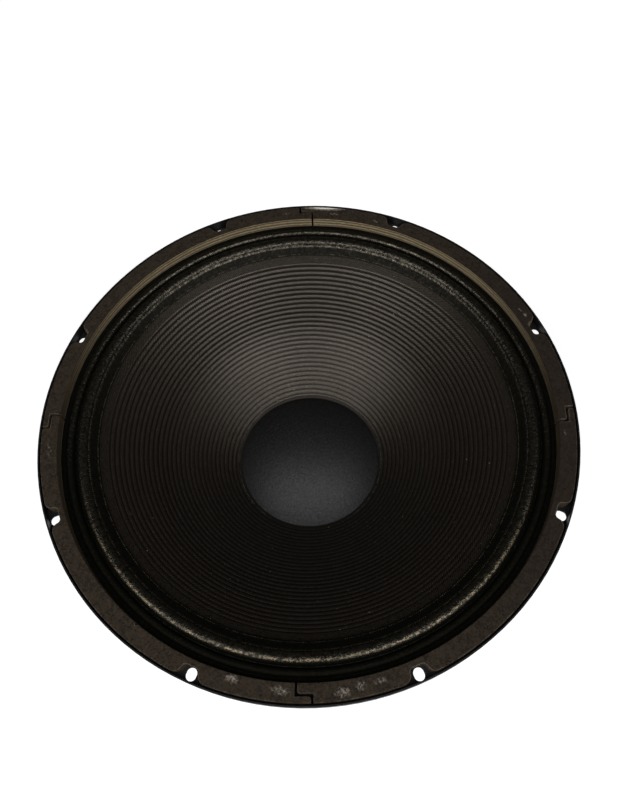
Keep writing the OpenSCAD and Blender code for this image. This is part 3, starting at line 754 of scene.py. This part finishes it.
# Surround. Fine cotton pressed into a small roll and a large one, and doped with a tacky
# black coating. Its flat edge is glued under the gasket, and its skirt down on the cone.
flange_top, surround_thickness, cone_clearance = 159.0, 0.8, 0.35
landing_outer = 181.8
small_roll, small_width, small_crown = 172.6, 5.0, 160.9
large_roll, large_width, large_crown = 164.1, 8.2, 161.9
groove_top = 156.8
skirt_outer, skirt_inner = 159.8, 153.3


def half_roll(centre, width, crown, outer_base, inner_base):
    """Points over one roll, from its outer foot to its inner one."""
    for degrees in range(8, 173, 6):
        a = math.radians(degrees)
        base = outer_base if degrees < 90 else inner_base
        yield centre + width / 2 * math.cos(a), base + (crown - base) * math.sin(a)


def eased(path, apart, rounds):
    """The path with its points this far apart, and its corners worn round."""
    path = np.asarray(path, float)
    along = np.concatenate([[0], np.cumsum(np.linalg.norm(np.diff(path, axis=0), axis=1))])
    at = np.linspace(0, along[-1], int(along[-1] / apart) + 1)
    path = np.stack([np.interp(at, along, path[:, k]) for k in range(path.shape[1])], -1)
    for _ in range(rounds):
        path[1:-1] = (path[:-2] + 2 * path[1:-1] + path[2:]) / 4
    return path


half_cloth = surround_thickness / 2
landing = flange_top - half_cloth
groove = groove_top - half_cloth
lift = (cone_clearance + half_cloth) / math.cos(math.atan(cone_slope))
valley = cone_face(skirt_outer) + lift
path = [
    (landing_outer, landing),
    (small_roll + small_width / 2 + 0.5, landing),
    *half_roll(small_roll, small_width, small_crown - half_cloth, landing + 0.6, groove + 0.9),
    (small_roll - small_width / 2 - 0.1, groove),
    (large_roll + large_width / 2 + 0.1, groove),
    *half_roll(large_roll, large_width, large_crown - half_cloth, groove + 0.9, valley + 0.3),
    (large_roll - large_width / 2 - 0.9, valley - 0.45),
    (skirt_inner - 0.44, cone_face(skirt_inner - 0.44) + lift),
]


def hand_laid(r, h, turns):
    """Slow unevenness of doped cloth, none at the flat edge and the skirt."""
    roll = np.clip((175.5 - r) / 3, 0, 1) * np.clip((r - 160.5) / 3, 0, 1)
    wave = np.sin(7 * turns + 0.7) + 0.6 * np.sin(13 * turns + 2.1) + 0.5 * np.sin(29 * turns)
    return roll * 0.03 * wave, roll * 0.05 * np.roll(wave, 5, 0)


surround = turn(
    "double_roll_surround", sheet(eased(path, 0.36, 3), surround_thickness), 288, hand_laid
)
doped = Finish("doped_cloth")
y, radius, angle = doped.place("y radius angle")
warp_threads, weft_pitch = 560, 1.4
warp = (angle * warp_threads).sine()
weft = (radius * (math.tau / (weft_pitch * MM))).sine()
weave = warp * weft
grain = doped.cloud(2.3, 3, 0.75).step(0.36, 0.66)
drips = doped.cloud(5, 4)
dust = doped.cloud(1.8, 5, 0.75).step(0.52, 0.72)
tone = doped.mix(drips, (0.0010, 0.0011, 0.0008), (0.0022, 0.0023, 0.0016))
pressed_line = 0.0
for at in (skirt_inner + 0.25, skirt_outer - 0.7):
    pressed_line = (radius - at * MM).size().step_mm(0.36, 0.20) + pressed_line
frayed = pressed_line * (angle * 640).sine().step(-0.4, 0.5) * grain
dusted = doped.mix(dust * 0.35, tone, (0.020, 0.019, 0.011))
# Painted highlight: a warm gold band along the large roll's crest, on the near side only,
# broken up by the grain.
highlight_ring = 165.4
crest_highlight = (radius - highlight_ring * MM).size().step_mm(1.5, 0.3)
crest_highlight = crest_highlight * y.step_mm(-40, -120)
with_crest_highlight = doped.mix(crest_highlight * grain.step(0.35, 0.8), dusted, (0.070, 0.044, 0.014))
doped.put(
    Base_Color=doped.mix(frayed * 0.6, with_crest_highlight, (0.110, 0.096, 0.066)),
    Roughness=0.26,
    Specular_IOR_Level=0.95,
    Specular_Tint=(1.0, 0.90, 0.72),
    Normal=doped.bump(grain + weave * 0.15, 0.11, 1.0),
)
rolled = radius.step_mm(157.8, 158.6) * radius.step_mm(175.4, 174.6)
# Painted shade: the small roll's near side loses its sheen, standing in for the gasket's shadow
# falling on it.
in_shade = radius.step_mm(168.2, 169.6) * y.step_mm(40, -60)
near_edge = radius.step_mm(165.6, 167.0) * y.step_mm(-20, -100)
bright = (0.08 + rolled * 0.92) * (0.12 + grain * 0.88)
doped.dull(1 - bright * (1 - in_shade * 0.95) * (1 - near_edge * 0.7), 0.6, 0.06)
doped.cover(surround)
blend_outwards(surround)
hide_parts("surround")


# Dust cap. A plain dome of pressed felt paper that stands on the cone over the voice coil
# and keeps dirt out of the gap. Its face is soft and a little violet, with some fluff on it.
cap_edge, cap_rise, cap_thickness = 56.0, 22.0, 0.8
cap_low = cone_face(cap_edge) + 0.05
cap_sphere = (cap_edge**2 + cap_rise**2) / (2 * cap_rise)
cap_centre = cap_low + cap_rise - cap_sphere
cap_half = math.asin(cap_edge / cap_sphere)


def dome(sphere, steps=48):
    """Points down one side of the dome, from its crown to the cone's face."""
    for i in range(steps + 1):
        a = cap_half * i / steps
        at = sphere * math.sin(a), cap_centre + sphere * math.cos(a)
        if at[1] > cone_face(at[0]) + 0.04:
            yield at


dust_cap = turn(
    "felt_dust_cap",
    [*dome(cap_sphere), *reversed(list(dome(cap_sphere - cap_thickness)))],
    224,
)
cap_felt = Finish("dust_cap_felt")
x, y = cap_felt.place("x y")
felt = cap_felt.cloud(1.6, 3, 0.8).step(0.3, 0.7)
tone = cap_felt.cloud(18, 3)
dusty_side = x.step_mm(5, -28) * y.step_mm(-8, 22)
rust = cap_felt.specks(2.0, 0.8, 0.75) * dusty_side
fluff = cap_felt.specks(6, 1.0, 0.30) * (0.25 + dusty_side * 0.75)
base = cap_felt.mix(tone, (0.0025, 0.0023, 0.0023), (0.0036, 0.0033, 0.0034))
grained = cap_felt.mix(felt, base, (0.0075, 0.0071, 0.0072))
rusty = cap_felt.mix(rust * 0.9, grained, (0.19, 0.085, 0.040))
cap_felt.put(
    Base_Color=cap_felt.mix(fluff * 0.8, rusty, (0.32, 0.29, 0.26)),
    Roughness=0.56,
    Specular_IOR_Level=0.48,
    Normal=cap_felt.bump(felt, 0.09, 1.0),
)
cap_felt.dull((1 - felt) * 0.45, 0.6, 0.08)
cap_felt.cover(dust_cap)
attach(dust_cap, "moving_cone")
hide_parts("dust_cap")


# Glue round the dust cap. A bead of black cement, run round by hand into the corner
# between the cap and the cone, so its edge wanders a little.
bead_width, bead_height = 2.3, 0.8
bead_in = cap_edge + 0.05


def by_hand(r, h, turns):
    """The bead's foot wanders along the cone, and its back rises and falls."""
    out = np.clip((r - bead_in) / bead_width, 0, 1)
    wander = np.sin(5 * turns + 1) + 0.7 * np.sin(11 * turns) + 0.5 * np.sin(23 * turns + 2)
    return out * 0.10 * wander - out * 0.22, out * (0.10 * wander - 0.22) * cone_slope


back_of_bead = (0.97, 0.16), (0.80, 0.34), (0.55, 0.40), (0.28, 0.50), (0, bead_height)
bead_outline = [
    (bead_in + bead_width * out, cone_face(bead_in + bead_width * out) + above)
    for out, above in ((0, 0.04), (1, 0.04), *back_of_bead)
]
bead = turn("dust_cap_bead", bead_outline, 224, by_hand)
glue.cover(bead)
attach(bead, "moving_cone")
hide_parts("dust_cap_glue")


# Gasket. Four segments die-cut from thick brown board with a dark felted face, glued on
# the flange over the surround's edge. Stepped joints part them, with a notch at each slot.
gasket_inner, gasket_outer = 179.1, 191.2
joint_half_gap, joint_step, joint_middle = 0.65, 10.2, 186.3
notch_end, notch_half, notch_mouth = 183.5, 5.2, 24.0
round_edge, worn_border = 0.6, 1.0
quarter = 90
nick_at, nick_radius, nick_depth = Vector((-108.6, -144.3)), 1.9, 2.3


def corner(before, at, after, r, steps=5):
    """Points of a round corner on the way from before, through at, to after."""
    u, v = (before - at).normalized(), (after - at).normalized()
    half = u.angle(v) / 2
    centre = at + (u + v).normalized() * r / math.sin(half)
    p, q = at + u * r / math.tan(half) - centre, at + v * r / math.tan(half) - centre
    start, sweep = math.atan2(p.y, p.x), math.atan2(p.x * q.y - p.y * q.x, p.dot(q))
    for i in range(steps + 1):
        yield centre + polar(r, math.degrees(start + sweep * i / steps))


def notch_side():
    """One side of a notch on +X: its end, its knee and its shoulder out to the edge."""
    mouth = math.asin(notch_mouth / 2 / gasket_outer)

    def tangent(y):
        return Vector(((gasket_outer - y * math.sin(mouth)) / math.cos(mouth), y))

    end, wall = Vector((notch_end, 0)), Vector((notch_end, notch_half))
    knee, far = tangent(notch_half + 1.2), tangent(notch_mouth / 2 + 2)
    shoulder = (notch_mouth / 2 - notch_half - 1.2) * 1.06
    side = [end, *corner(end, wall, knee, 2.4), *corner(wall, knee, far, shoulder, 8)]
    return [p for p in side if p.length < gasket_outer - 0.02]


def segment_outline():
    """Plan of one segment, counter-clockwise from its joint at 0 degrees."""
    lap = math.degrees(joint_step / 2 / joint_middle)

    def joint(r, at, side):
        return polar(r, at + side * math.degrees(joint_half_gap / r))

    low, high = joint_middle - joint_half_gap, joint_middle + joint_half_gap
    a, b = joint(gasket_inner, -lap, 1), joint(low, -lap, 1)
    c, d = joint(low, lap, 1), joint(gasket_outer, lap, 1)
    e, f = joint(gasket_outer, quarter + lap, -1), joint(high, quarter + lap, -1)
    g, h = joint(high, quarter - lap, -1), joint(gasket_inner, quarter - lap, -1)
    side = notch_side()
    points = [a, *corner(a, b, c, 1.8), *corner(b, c, d, 0.6), d]
    start = math.degrees(math.atan2(d.y, d.x))
    mouth = math.degrees(math.atan2(side[-1].y, side[-1].x))
    for at, end in ((22.5, 22.5 - mouth), (67.5, 67.5 - mouth), (None, None)):
        stop = end if end else math.degrees(math.atan2(e.y, e.x))
        count = round((stop - start) / 0.5)
        turn_by = (stop - start) / count
        points += [polar(gasket_outer, start + turn_by * i) for i in range(1, count)]
        if at:
            whole = [Vector((p.x, -p.y)) for p in reversed(side[1:])] + side
            points += [polar(p.length, at + math.degrees(math.atan2(p.y, p.x))) for p in whole]
            start = at + mouth
    points += [e, *corner(e, f, g, 1.8), *corner(f, g, h, 0.6), h]
    start, stop = (math.degrees(math.atan2(p.y, p.x)) for p in (h, a))
    points += [polar(gasket_inner, start + (stop - start) * i / 180) for i in range(1, 180)]
    return points


def in_short_steps(points):
    """The outline with a point each 2.4 mm at most, and closer ones at the nick."""
    for p, q in zip(points, points[1:] + points[:1]):
        longest = 0.4 if (p - nick_at).length < 6 else 2.4
        pieces = max(1, math.ceil((q - p).length / longest))
        for i in range(pieces):
            yield p.lerp(q, i / pieces)


def gasket_segment(index):
    """One segment: its plan in rings from the flange up over the worn edge, and closed."""
    turned = Matrix.Rotation(math.radians(quarter * index), 2)
    plan = list(in_short_steps([turned @ p for p in segment_outline()]))
    count = len(plan)
    inward = []
    for i, p in enumerate(plan):
        u, v = (p - plan[i - 1]).normalized(), (plan[(i + 1) % count] - p).normalized()
        left = Vector((-u.y - v.y, u.x + v.x)).normalized()
        inward.append(left / max(0.6, left.dot(Vector((-u.y, u.x)))))
    for i, p in enumerate(plan):
        nick = min(1, max(0, nick_radius - (p - nick_at).length) * 1.4) * nick_depth
        ragged = noise.noise(Vector((p.x, p.y, 5)) * 0.35) * 0.09
        plan[i] = p + inward[i] * (0.06 + ragged + nick)
    outer = [p.length > gasket_outer - 0.6 for p in plan]
    bared = [
        0.3 if p.length < gasket_inner + 0.6 else 0.8 if at_edge else 1.0
        for p, at_edge in zip(plan, outer)
    ]
    rings = [(None, flange_top, 0), (0, flange_top + 0.9, 0)]
    rings += [(0.05 * (i % 2), flange_top + 1.8 * i, 0) for i in range(1, 5)]
    rings.append((0, gasket_top - round_edge, 0.5))
    for degrees in (30, 60, 90):
        a = math.radians(degrees)
        rings.append((
            round_edge * (1 - math.cos(a)),
            gasket_top - round_edge * (1 - math.sin(a)),
            1,
        ))
    rings.append((worn_border, gasket_top, 0))
    points, border = [], []
    for inset, height, worn in rings:
        for p, left, at_edge, bare in zip(plan, inward, outer, bared):
            moved = p + left * ((0.9 if at_edge else 0.1) if inset is None else inset)
            points.append((moved.x, moved.y, height))
            border.append(worn * bare)
    faces = between_rings(len(rings), count)
    faces.append(list(reversed(range(count))))
    faces.append(list(range((len(rings) - 1) * count, len(rings) * count)))
    mesh = mesh_of(f"gasket_board_{index + 1}", points, faces)
    mesh.attributes.new("border", "FLOAT", "POINT").data.foreach_set("value", border)
    return smooth(linked(mesh.name, mesh), 40)


# Each scuff: its direction from the axis in degrees, its distance from the axis, its
# length round the ring, its width and its strength.
scuffs = (
    (85.6, 191.4, 34, 6.0, 3.2),
    (82.7, 184.7, 10, 3.0, 0.6),
    (95.3, 185.5, 9, 3.0, 0.5),
    (72.0, 183.5, 9, 2.4, 0.6),
    (-104.3, 182.4, 11, 6.0, 0.8),
    (-94.6, 184.4, 14, 6.5, 0.75),
    (-82.7, 186.3, 11, 7.5, 0.8),
    (-79.1, 184.3, 8, 7.5, 0.7),
    (-75.1, 184.2, 11, 4.6, 0.65),
    (-172.9, 184.5, 20, 6.0, 0.42),
    (-4.4, 183.0, 11, 2.2, 0.5),
    (26.4, 185.9, 5, 3.0, 0.75),
    (28.1, 185.0, 5, 2.4, 0.6),
)
board = Finish("gasket_board")
x, y, z, radius = board.place("x y z radius")
border = board.node("ShaderNodeAttribute", {"attribute_name": "border"}, give="Fac")
felt = board.cloud(1.3, 4, 0.8)
blotch = board.cloud(4.5, 5, 0.7)
ply_pitch = 3.2
plies = z * (math.tau / (ply_pitch * MM)) + board.cloud(16, 3) * 3.0
plies = plies.sine().step(0.1, 0.8)
fibre = board.cloud(2.4, 4, 0.75, at=board.vector(x, y, z * 7))
strong = fibre.step(0.3, 0.7)
# Painted light and shade on the walls: a lit tan copy on the far side, and a dark shaded copy
# on the near side and inside the joints.
lit_wall = board.mix(strong, (0.130, 0.100, 0.056), (0.43, 0.345, 0.21))
in_shade = board.mix(strong, (0.026, 0.018, 0.010), (0.080, 0.058, 0.034))
in_joint = radius.step_mm(179.9, 180.3) * x.size().step_mm(9, 7)
side_tone = board.mix(y.step_mm(0, 135) * (1 - in_joint), in_shade, lit_wall)
sides = board.mix(plies * 0.85, side_tone, (0.030, 0.021, 0.012))
bottom_line = z.step_mm(flange_top + 0.9, flange_top + 0.4)
sides = board.mix(bottom_line * 0.5, sides, (0.24, 0.21, 0.16))
nap = felt.step(0.3, 0.7)
face = board.mix(felt.step(0.34, 0.66), (0.0055, 0.0037, 0.0024), (0.0350, 0.0255, 0.0170))
face = board.mix(blotch.step(0.40, 0.66) * 0.55, face, (0.0350, 0.0262, 0.0180))
# Painted shade: the face is painted darker towards the right side.
right_side_shade = x.step_mm(60, 185)
face = board.mix(right_side_shade * 0.5, face, (0.0075, 0.0056, 0.0036))
pale = board.mix(nap, (0.06, 0.050, 0.041), (0.24, 0.21, 0.18))
bare_edge = board.mix(nap, (0.028, 0.021, 0.016), (0.098, 0.076, 0.060))
worn = 0.0
for degrees, at, length, width, strength in scuffs:
    c, s = polar(1, degrees)
    around = (y * c - x * s) / (length / 2 * MM)
    across = (x * c + y * s - at * MM) / (width / 2 * MM)
    far = (around * around + across * across) ** 0.5
    worn = far.step(1.6, 0.15) * strength + worn
hatch = (x * 1900 + y * 1300 + blotch * 9 + felt * 4).sine()
scraped = (worn * (0.25 + hatch * 0.22 + felt.step(0.25, 0.75) * 1.1)).step(0.20, 1.05)
pale = board.mix(worn.step(1.4, 3.0), pale, (0.72, 0.68, 0.62))
edge_wear = (border * (0.35 + blotch * 0.9)).step(0.50, 0.85) * (1 - in_joint * 0.7)
worn_face = board.mix(edge_wear, face, bare_edge)
top_colour = board.mix(scraped, worn_face, pale)
is_side = z.step_mm(gasket_top - 0.50, gasket_top - 0.62)
relief = felt + blotch * 0.5 + fibre * is_side + plies * is_side * -0.8
board.put(
    Base_Color=board.mix(is_side, top_colour, sides),
    Roughness=0.84 - scraped * 0.12,
    Specular_IOR_Level=0.12,
    Normal=board.bump(relief, 0.22, 0.8),
)
for index in range(4):
    segment = gasket_segment(index)
    board.cover(segment)
    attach(segment, "frame")
    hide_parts(f"gasket_segment_{index + 1}")


# Terminal board. A plate of brown paper-base phenolic on a tab of the basket, in the
# window on the +Y side. Its cut edges show the paper's layers.
phenolic = Finish("paper_phenolic")
x, y, z = phenolic.place("x y z")
paper_grain = phenolic.cloud(3, 5, 0.65, at=phenolic.vector(x * 0.5, y * 3, z * 8))
layer_pitch = 0.25
layers = (z * (math.tau / (layer_pitch * MM))).sine()
on_edge = phenolic.upward().size().step(0.8, 0.4)
tone = phenolic.mix(paper_grain, (0.085, 0.034, 0.013), (0.165, 0.075, 0.031))
phenolic.put(
    Base_Color=phenolic.mix(on_edge * (0.5 + layers * 0.4), tone, (0.045, 0.018, 0.008)),
    Roughness=0.34 + paper_grain * 0.16,
    Normal=phenolic.bump(paper_grain + layers * on_edge, 0.03, 0.5),
)
phenolic.on("terminal_board")


# Solder lugs. Two strips of tinned brass, stamped out and bent up at the outer end, where
# a hole takes the amplifier's wire. A rivet holds each on the board.
tinned = Finish("tinned_brass")
x, y, z = tinned.place("x y z")
smears = tinned.cloud(1.6, 4, 0.65, at=tinned.vector(x, y * 0.3, z))
bare = tinned.cloud(2.4, 4, 0.6).step(0.60, 0.72)
tinned.put(
    Base_Color=tinned.mix(bare * 0.7, (0.58, 0.57, 0.54), (0.55, 0.40, 0.18)),
    Metallic=1.0,
    Roughness=0.24 + smears * 0.30,
    Normal=tinned.bump(smears, 0.03, 0.5),
)
tinned.on("solder_lug_left", "solder_lug_right")


# Small rivets. Two hold the terminal board on its tab, and one holds each lug. They are
# tubular, closed over at both ends, and grow from the same tree as the basket's.
board_top, board_rivets_at = 70.7, (106.5, 115.5)
lug_top, lug_aside, lug_out, lug_rivet_at = 71.5, 16.6, 112.5, 114.5
lug_turn = math.degrees(math.asin(lug_aside / lug_out))


def at_terminals(r, side, height):
    at = polar(r, 90 + side * lug_turn)
    return at.x, at.y, height


on_board = [(0, out, board_top + head_clearance) for out in board_rivets_at]
on_lugs = [at_terminals(lug_rivet_at, side, lug_top + head_clearance) for side in (-1, 1)]
for name, node, rivet_places, head_radius, grip in (
    ("rivets_in_the_terminal_board", "board_rivets", on_board, 3, 3.1),
    ("rivets_in_the_lugs", "lug_rivets", on_lugs, 2.85, 2.9),
):
    rivets = steel_rivets.grow(
        name,
        mesh_of(f"places_of_{node}", rivet_places),
        Head_radius=head_radius * MM,
        Head_height=1.2 * MM,
        Dimple=0.35,
        Shank_radius=1.5 * MM,
        Grip=grip * MM,
        Foot_height=1.2 * MM,
        Foot=True,
    )
    smooth(rivets)
    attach(rivets, "frame")
    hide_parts(node)


# Solder. One mound on each lug, where the flexible lead ends in it: it wets the tin with a
# thin skirt and rises round the lead's end.
solder_at, solder_radius, solder_rise = 105.55, 2.6, 2.8


def mound(centre):
    """A closed mound on its flat foot, with a thin skirt and an uneven back."""
    points, around, up = [], 40, 14
    for k in range(up + 1):
        share = k / up
        out = solder_radius * (1 - share)
        lift = solder_rise * (share**1.3 * 0.5 + math.sin(share * math.pi / 2) * 0.5)
        for i in range(around if k < up else 1):
            a = math.tau * i / around
            uneven = 1 + 0.10 * noise.noise(Vector((math.cos(a), math.sin(a), share)) * 1.3)
            points.append((
                centre[0] + out * uneven * math.cos(a),
                centre[1] + out * uneven * math.sin(a),
                lug_top + lift,
            ))
    faces, last = between_rings(up, around), (up - 1) * around
    faces += [(last + i, last + (i + 1) % around, up * around) for i in range(around)]
    faces.append(tuple(reversed(range(around))))
    return points, faces


points, faces = [], []
for side in (-1, 1):
    more, skin = mound(at_terminals(solder_at, side, 0))
    faces += [tuple(i + len(points) for i in face) for face in skin]
    points += more
solder = smooth(linked("solder_mounds", mesh_of("solder_mounds", points, faces)), 60)
tins = (0.50, 0.50, 0.50), (0.68, 0.68, 0.66)
cloudy_metal("solder_tin", 0.8, tins, (0.22, 0.25), (0.04, 0.5)).cover(solder)
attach(solder, "frame")
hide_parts("solder_joints")


# Leads. Two round braids of tinsel copper, which on the speaker bend each time the cone
#  moves; here each is a still tube. Each runs from its solder on the lug to the eyelet in
#  the cone, in a loose curve over the spider.
lead_radius = 1.0
lead_route = (
    (105.5, 72.607), (102.5, 73.107), (98.025, 74.313), (93.023, 74.149),
    (86.985, 72.954), (81.005, 71.185), (75.025, 69.411), (68.988, 68.076),
    (63.008, 67.624), (57.028, 68.476), (52.025, 71.055), (50.018, 74.635),
    (48.848, 76.257),
)
braid_turns_per_mm, braid_strands, lead_sides, ring_step = 0.16, 8, 20, 0.45


def braided_lead(name, side):
    """A tube along the route in one lug's upright plane, with the braid's low relief."""
    route = eased(lead_route, ring_step, 2)
    heading = np.gradient(route, axis=0)
    heading /= np.linalg.norm(heading, axis=1)[:, None]
    length = np.arange(len(route)) * ring_step
    turn_by = math.radians(90 + side * lug_turn)
    out = np.array([math.cos(turn_by), math.sin(turn_by)])
    points, along = [], []
    half = braid_strands / 2
    for (r, h), (dr, dh), done in zip(route, heading, length):
        spiral = math.tau * braid_turns_per_mm * done
        for k in range(lead_sides):
            a = math.tau * k / lead_sides
            over = math.sin(half * (a + spiral)) * math.sin(half * (a - spiral))
            thick = lead_radius * (0.95 + 0.05 * over)
            across, up = math.sin(a) * thick, math.cos(a) * thick
            reach = r - dh * up
            points.append((
                out[0] * reach - out[1] * across,
                out[1] * reach + out[0] * across,
                h + dr * up,
            ))
            along.append(done)
    rings = len(route)
    faces = between_rings(rings, lead_sides)
    faces.append(tuple(reversed(range(lead_sides))))
    faces.append(tuple(range((rings - 1) * lead_sides, rings * lead_sides)))
    mesh = mesh_of(name, points, faces)
    mesh.attributes.new("along", "FLOAT", "POINT").data.foreach_set("value", along)
    shape = bmesh.new()
    shape.from_mesh(mesh)
    bmesh.ops.recalc_face_normals(shape, faces=shape.faces)
    shape.to_mesh(mesh)
    shape.free()
    return smooth(linked(name, mesh), 60)


tinsel = Finish("tinsel_braid")
(x,) = tinsel.place("x")
along = tinsel.node("ShaderNodeAttribute", {"attribute_name": "along"}, give="Fac")
strands = (along * 9.0 + x * 5200).sine() * (along * 9.0 - x * 5200).sine()
dull = tinsel.cloud(2, 4, 0.6)
tinsel.put(
    Base_Color=tinsel.mix(dull, (0.62, 0.33, 0.18), (0.36, 0.19, 0.10)),
    Metallic=0.9,
    Roughness=0.36 + dull * 0.2,
    Normal=tinsel.bump(strands, 0.12, 0.8),
)
for name, side in (("lead_left", 1), ("lead_right", -1)):
    lead = braided_lead(f"braided_{name}", side)
    tinsel.cover(lead)
    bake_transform(lead)
    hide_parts(name)


# Studio. A pale floor under the magnet and two large soft lamps, at the left and at the
# right in front, with a weak even light from all round.
floor_reach, under_magnet = 4000, 0.3
floor_corners = [
    (x * floor_reach, y * floor_reach, -under_magnet)
    for x, y in ((-1, -1), (1, -1), (1, 1), (-1, 1))
]
floor = linked("studio_floor", mesh_of("studio_floor", floor_corners, [(0, 1, 2, 3)]))
pale_floor = Finish("studio_floor_paint")
rays = "Is Camera Ray", "Is Glossy Ray", "Is Transmission Ray"
camera_ray, glossy_ray, through_ray = pale_floor.node("ShaderNodeLightPath", give=rays)
seen = camera_ray.maths("MAXIMUM", camera_ray, glossy_ray)
seen = seen.maths("MAXIMUM", seen, through_ray)
pale_floor.put(
    Base_Color=(0.45, 0.45, 0.45),
    Roughness=0.9,
    Specular_IOR_Level=0.1,
    Emission_Color=pale_floor.mix(seen, (0, 0, 0), (1, 1, 1)),
    Emission_Strength=0.75,
)
pale_floor.cover(floor)

lamp_width, lamp_power, lamp_distance, aim_height, room_light = 1.9, 36, 2.4, 0.12, 0.06
for name, side in (("soft_lamp_left", -1), ("soft_lamp_right", 1)):
    lamp = bpy.data.lights.new(name, "AREA")
    lamp.shape, lamp.size, lamp.energy = "DISK", lamp_width, lamp_power
    holder = linked(name, lamp)
    towards = Vector((side * 0.42, -0.47, 0.78)).normalized()
    holder.location = towards * lamp_distance + Vector((0, 0, aim_height))
    holder.rotation_euler = towards.to_track_quat("Z", "Y").to_euler()

room = bpy.data.worlds.new("room")
room.use_nodes = True
room.node_tree.nodes["Background"].inputs[0].default_value = (1, 1, 1, 1)
room.node_tree.nodes["Background"].inputs[1].default_value = room_light
bpy.context.scene.world = room
bpy.context.scene.view_settings.view_transform = "Standard"

bpy.context.view_layer.update()
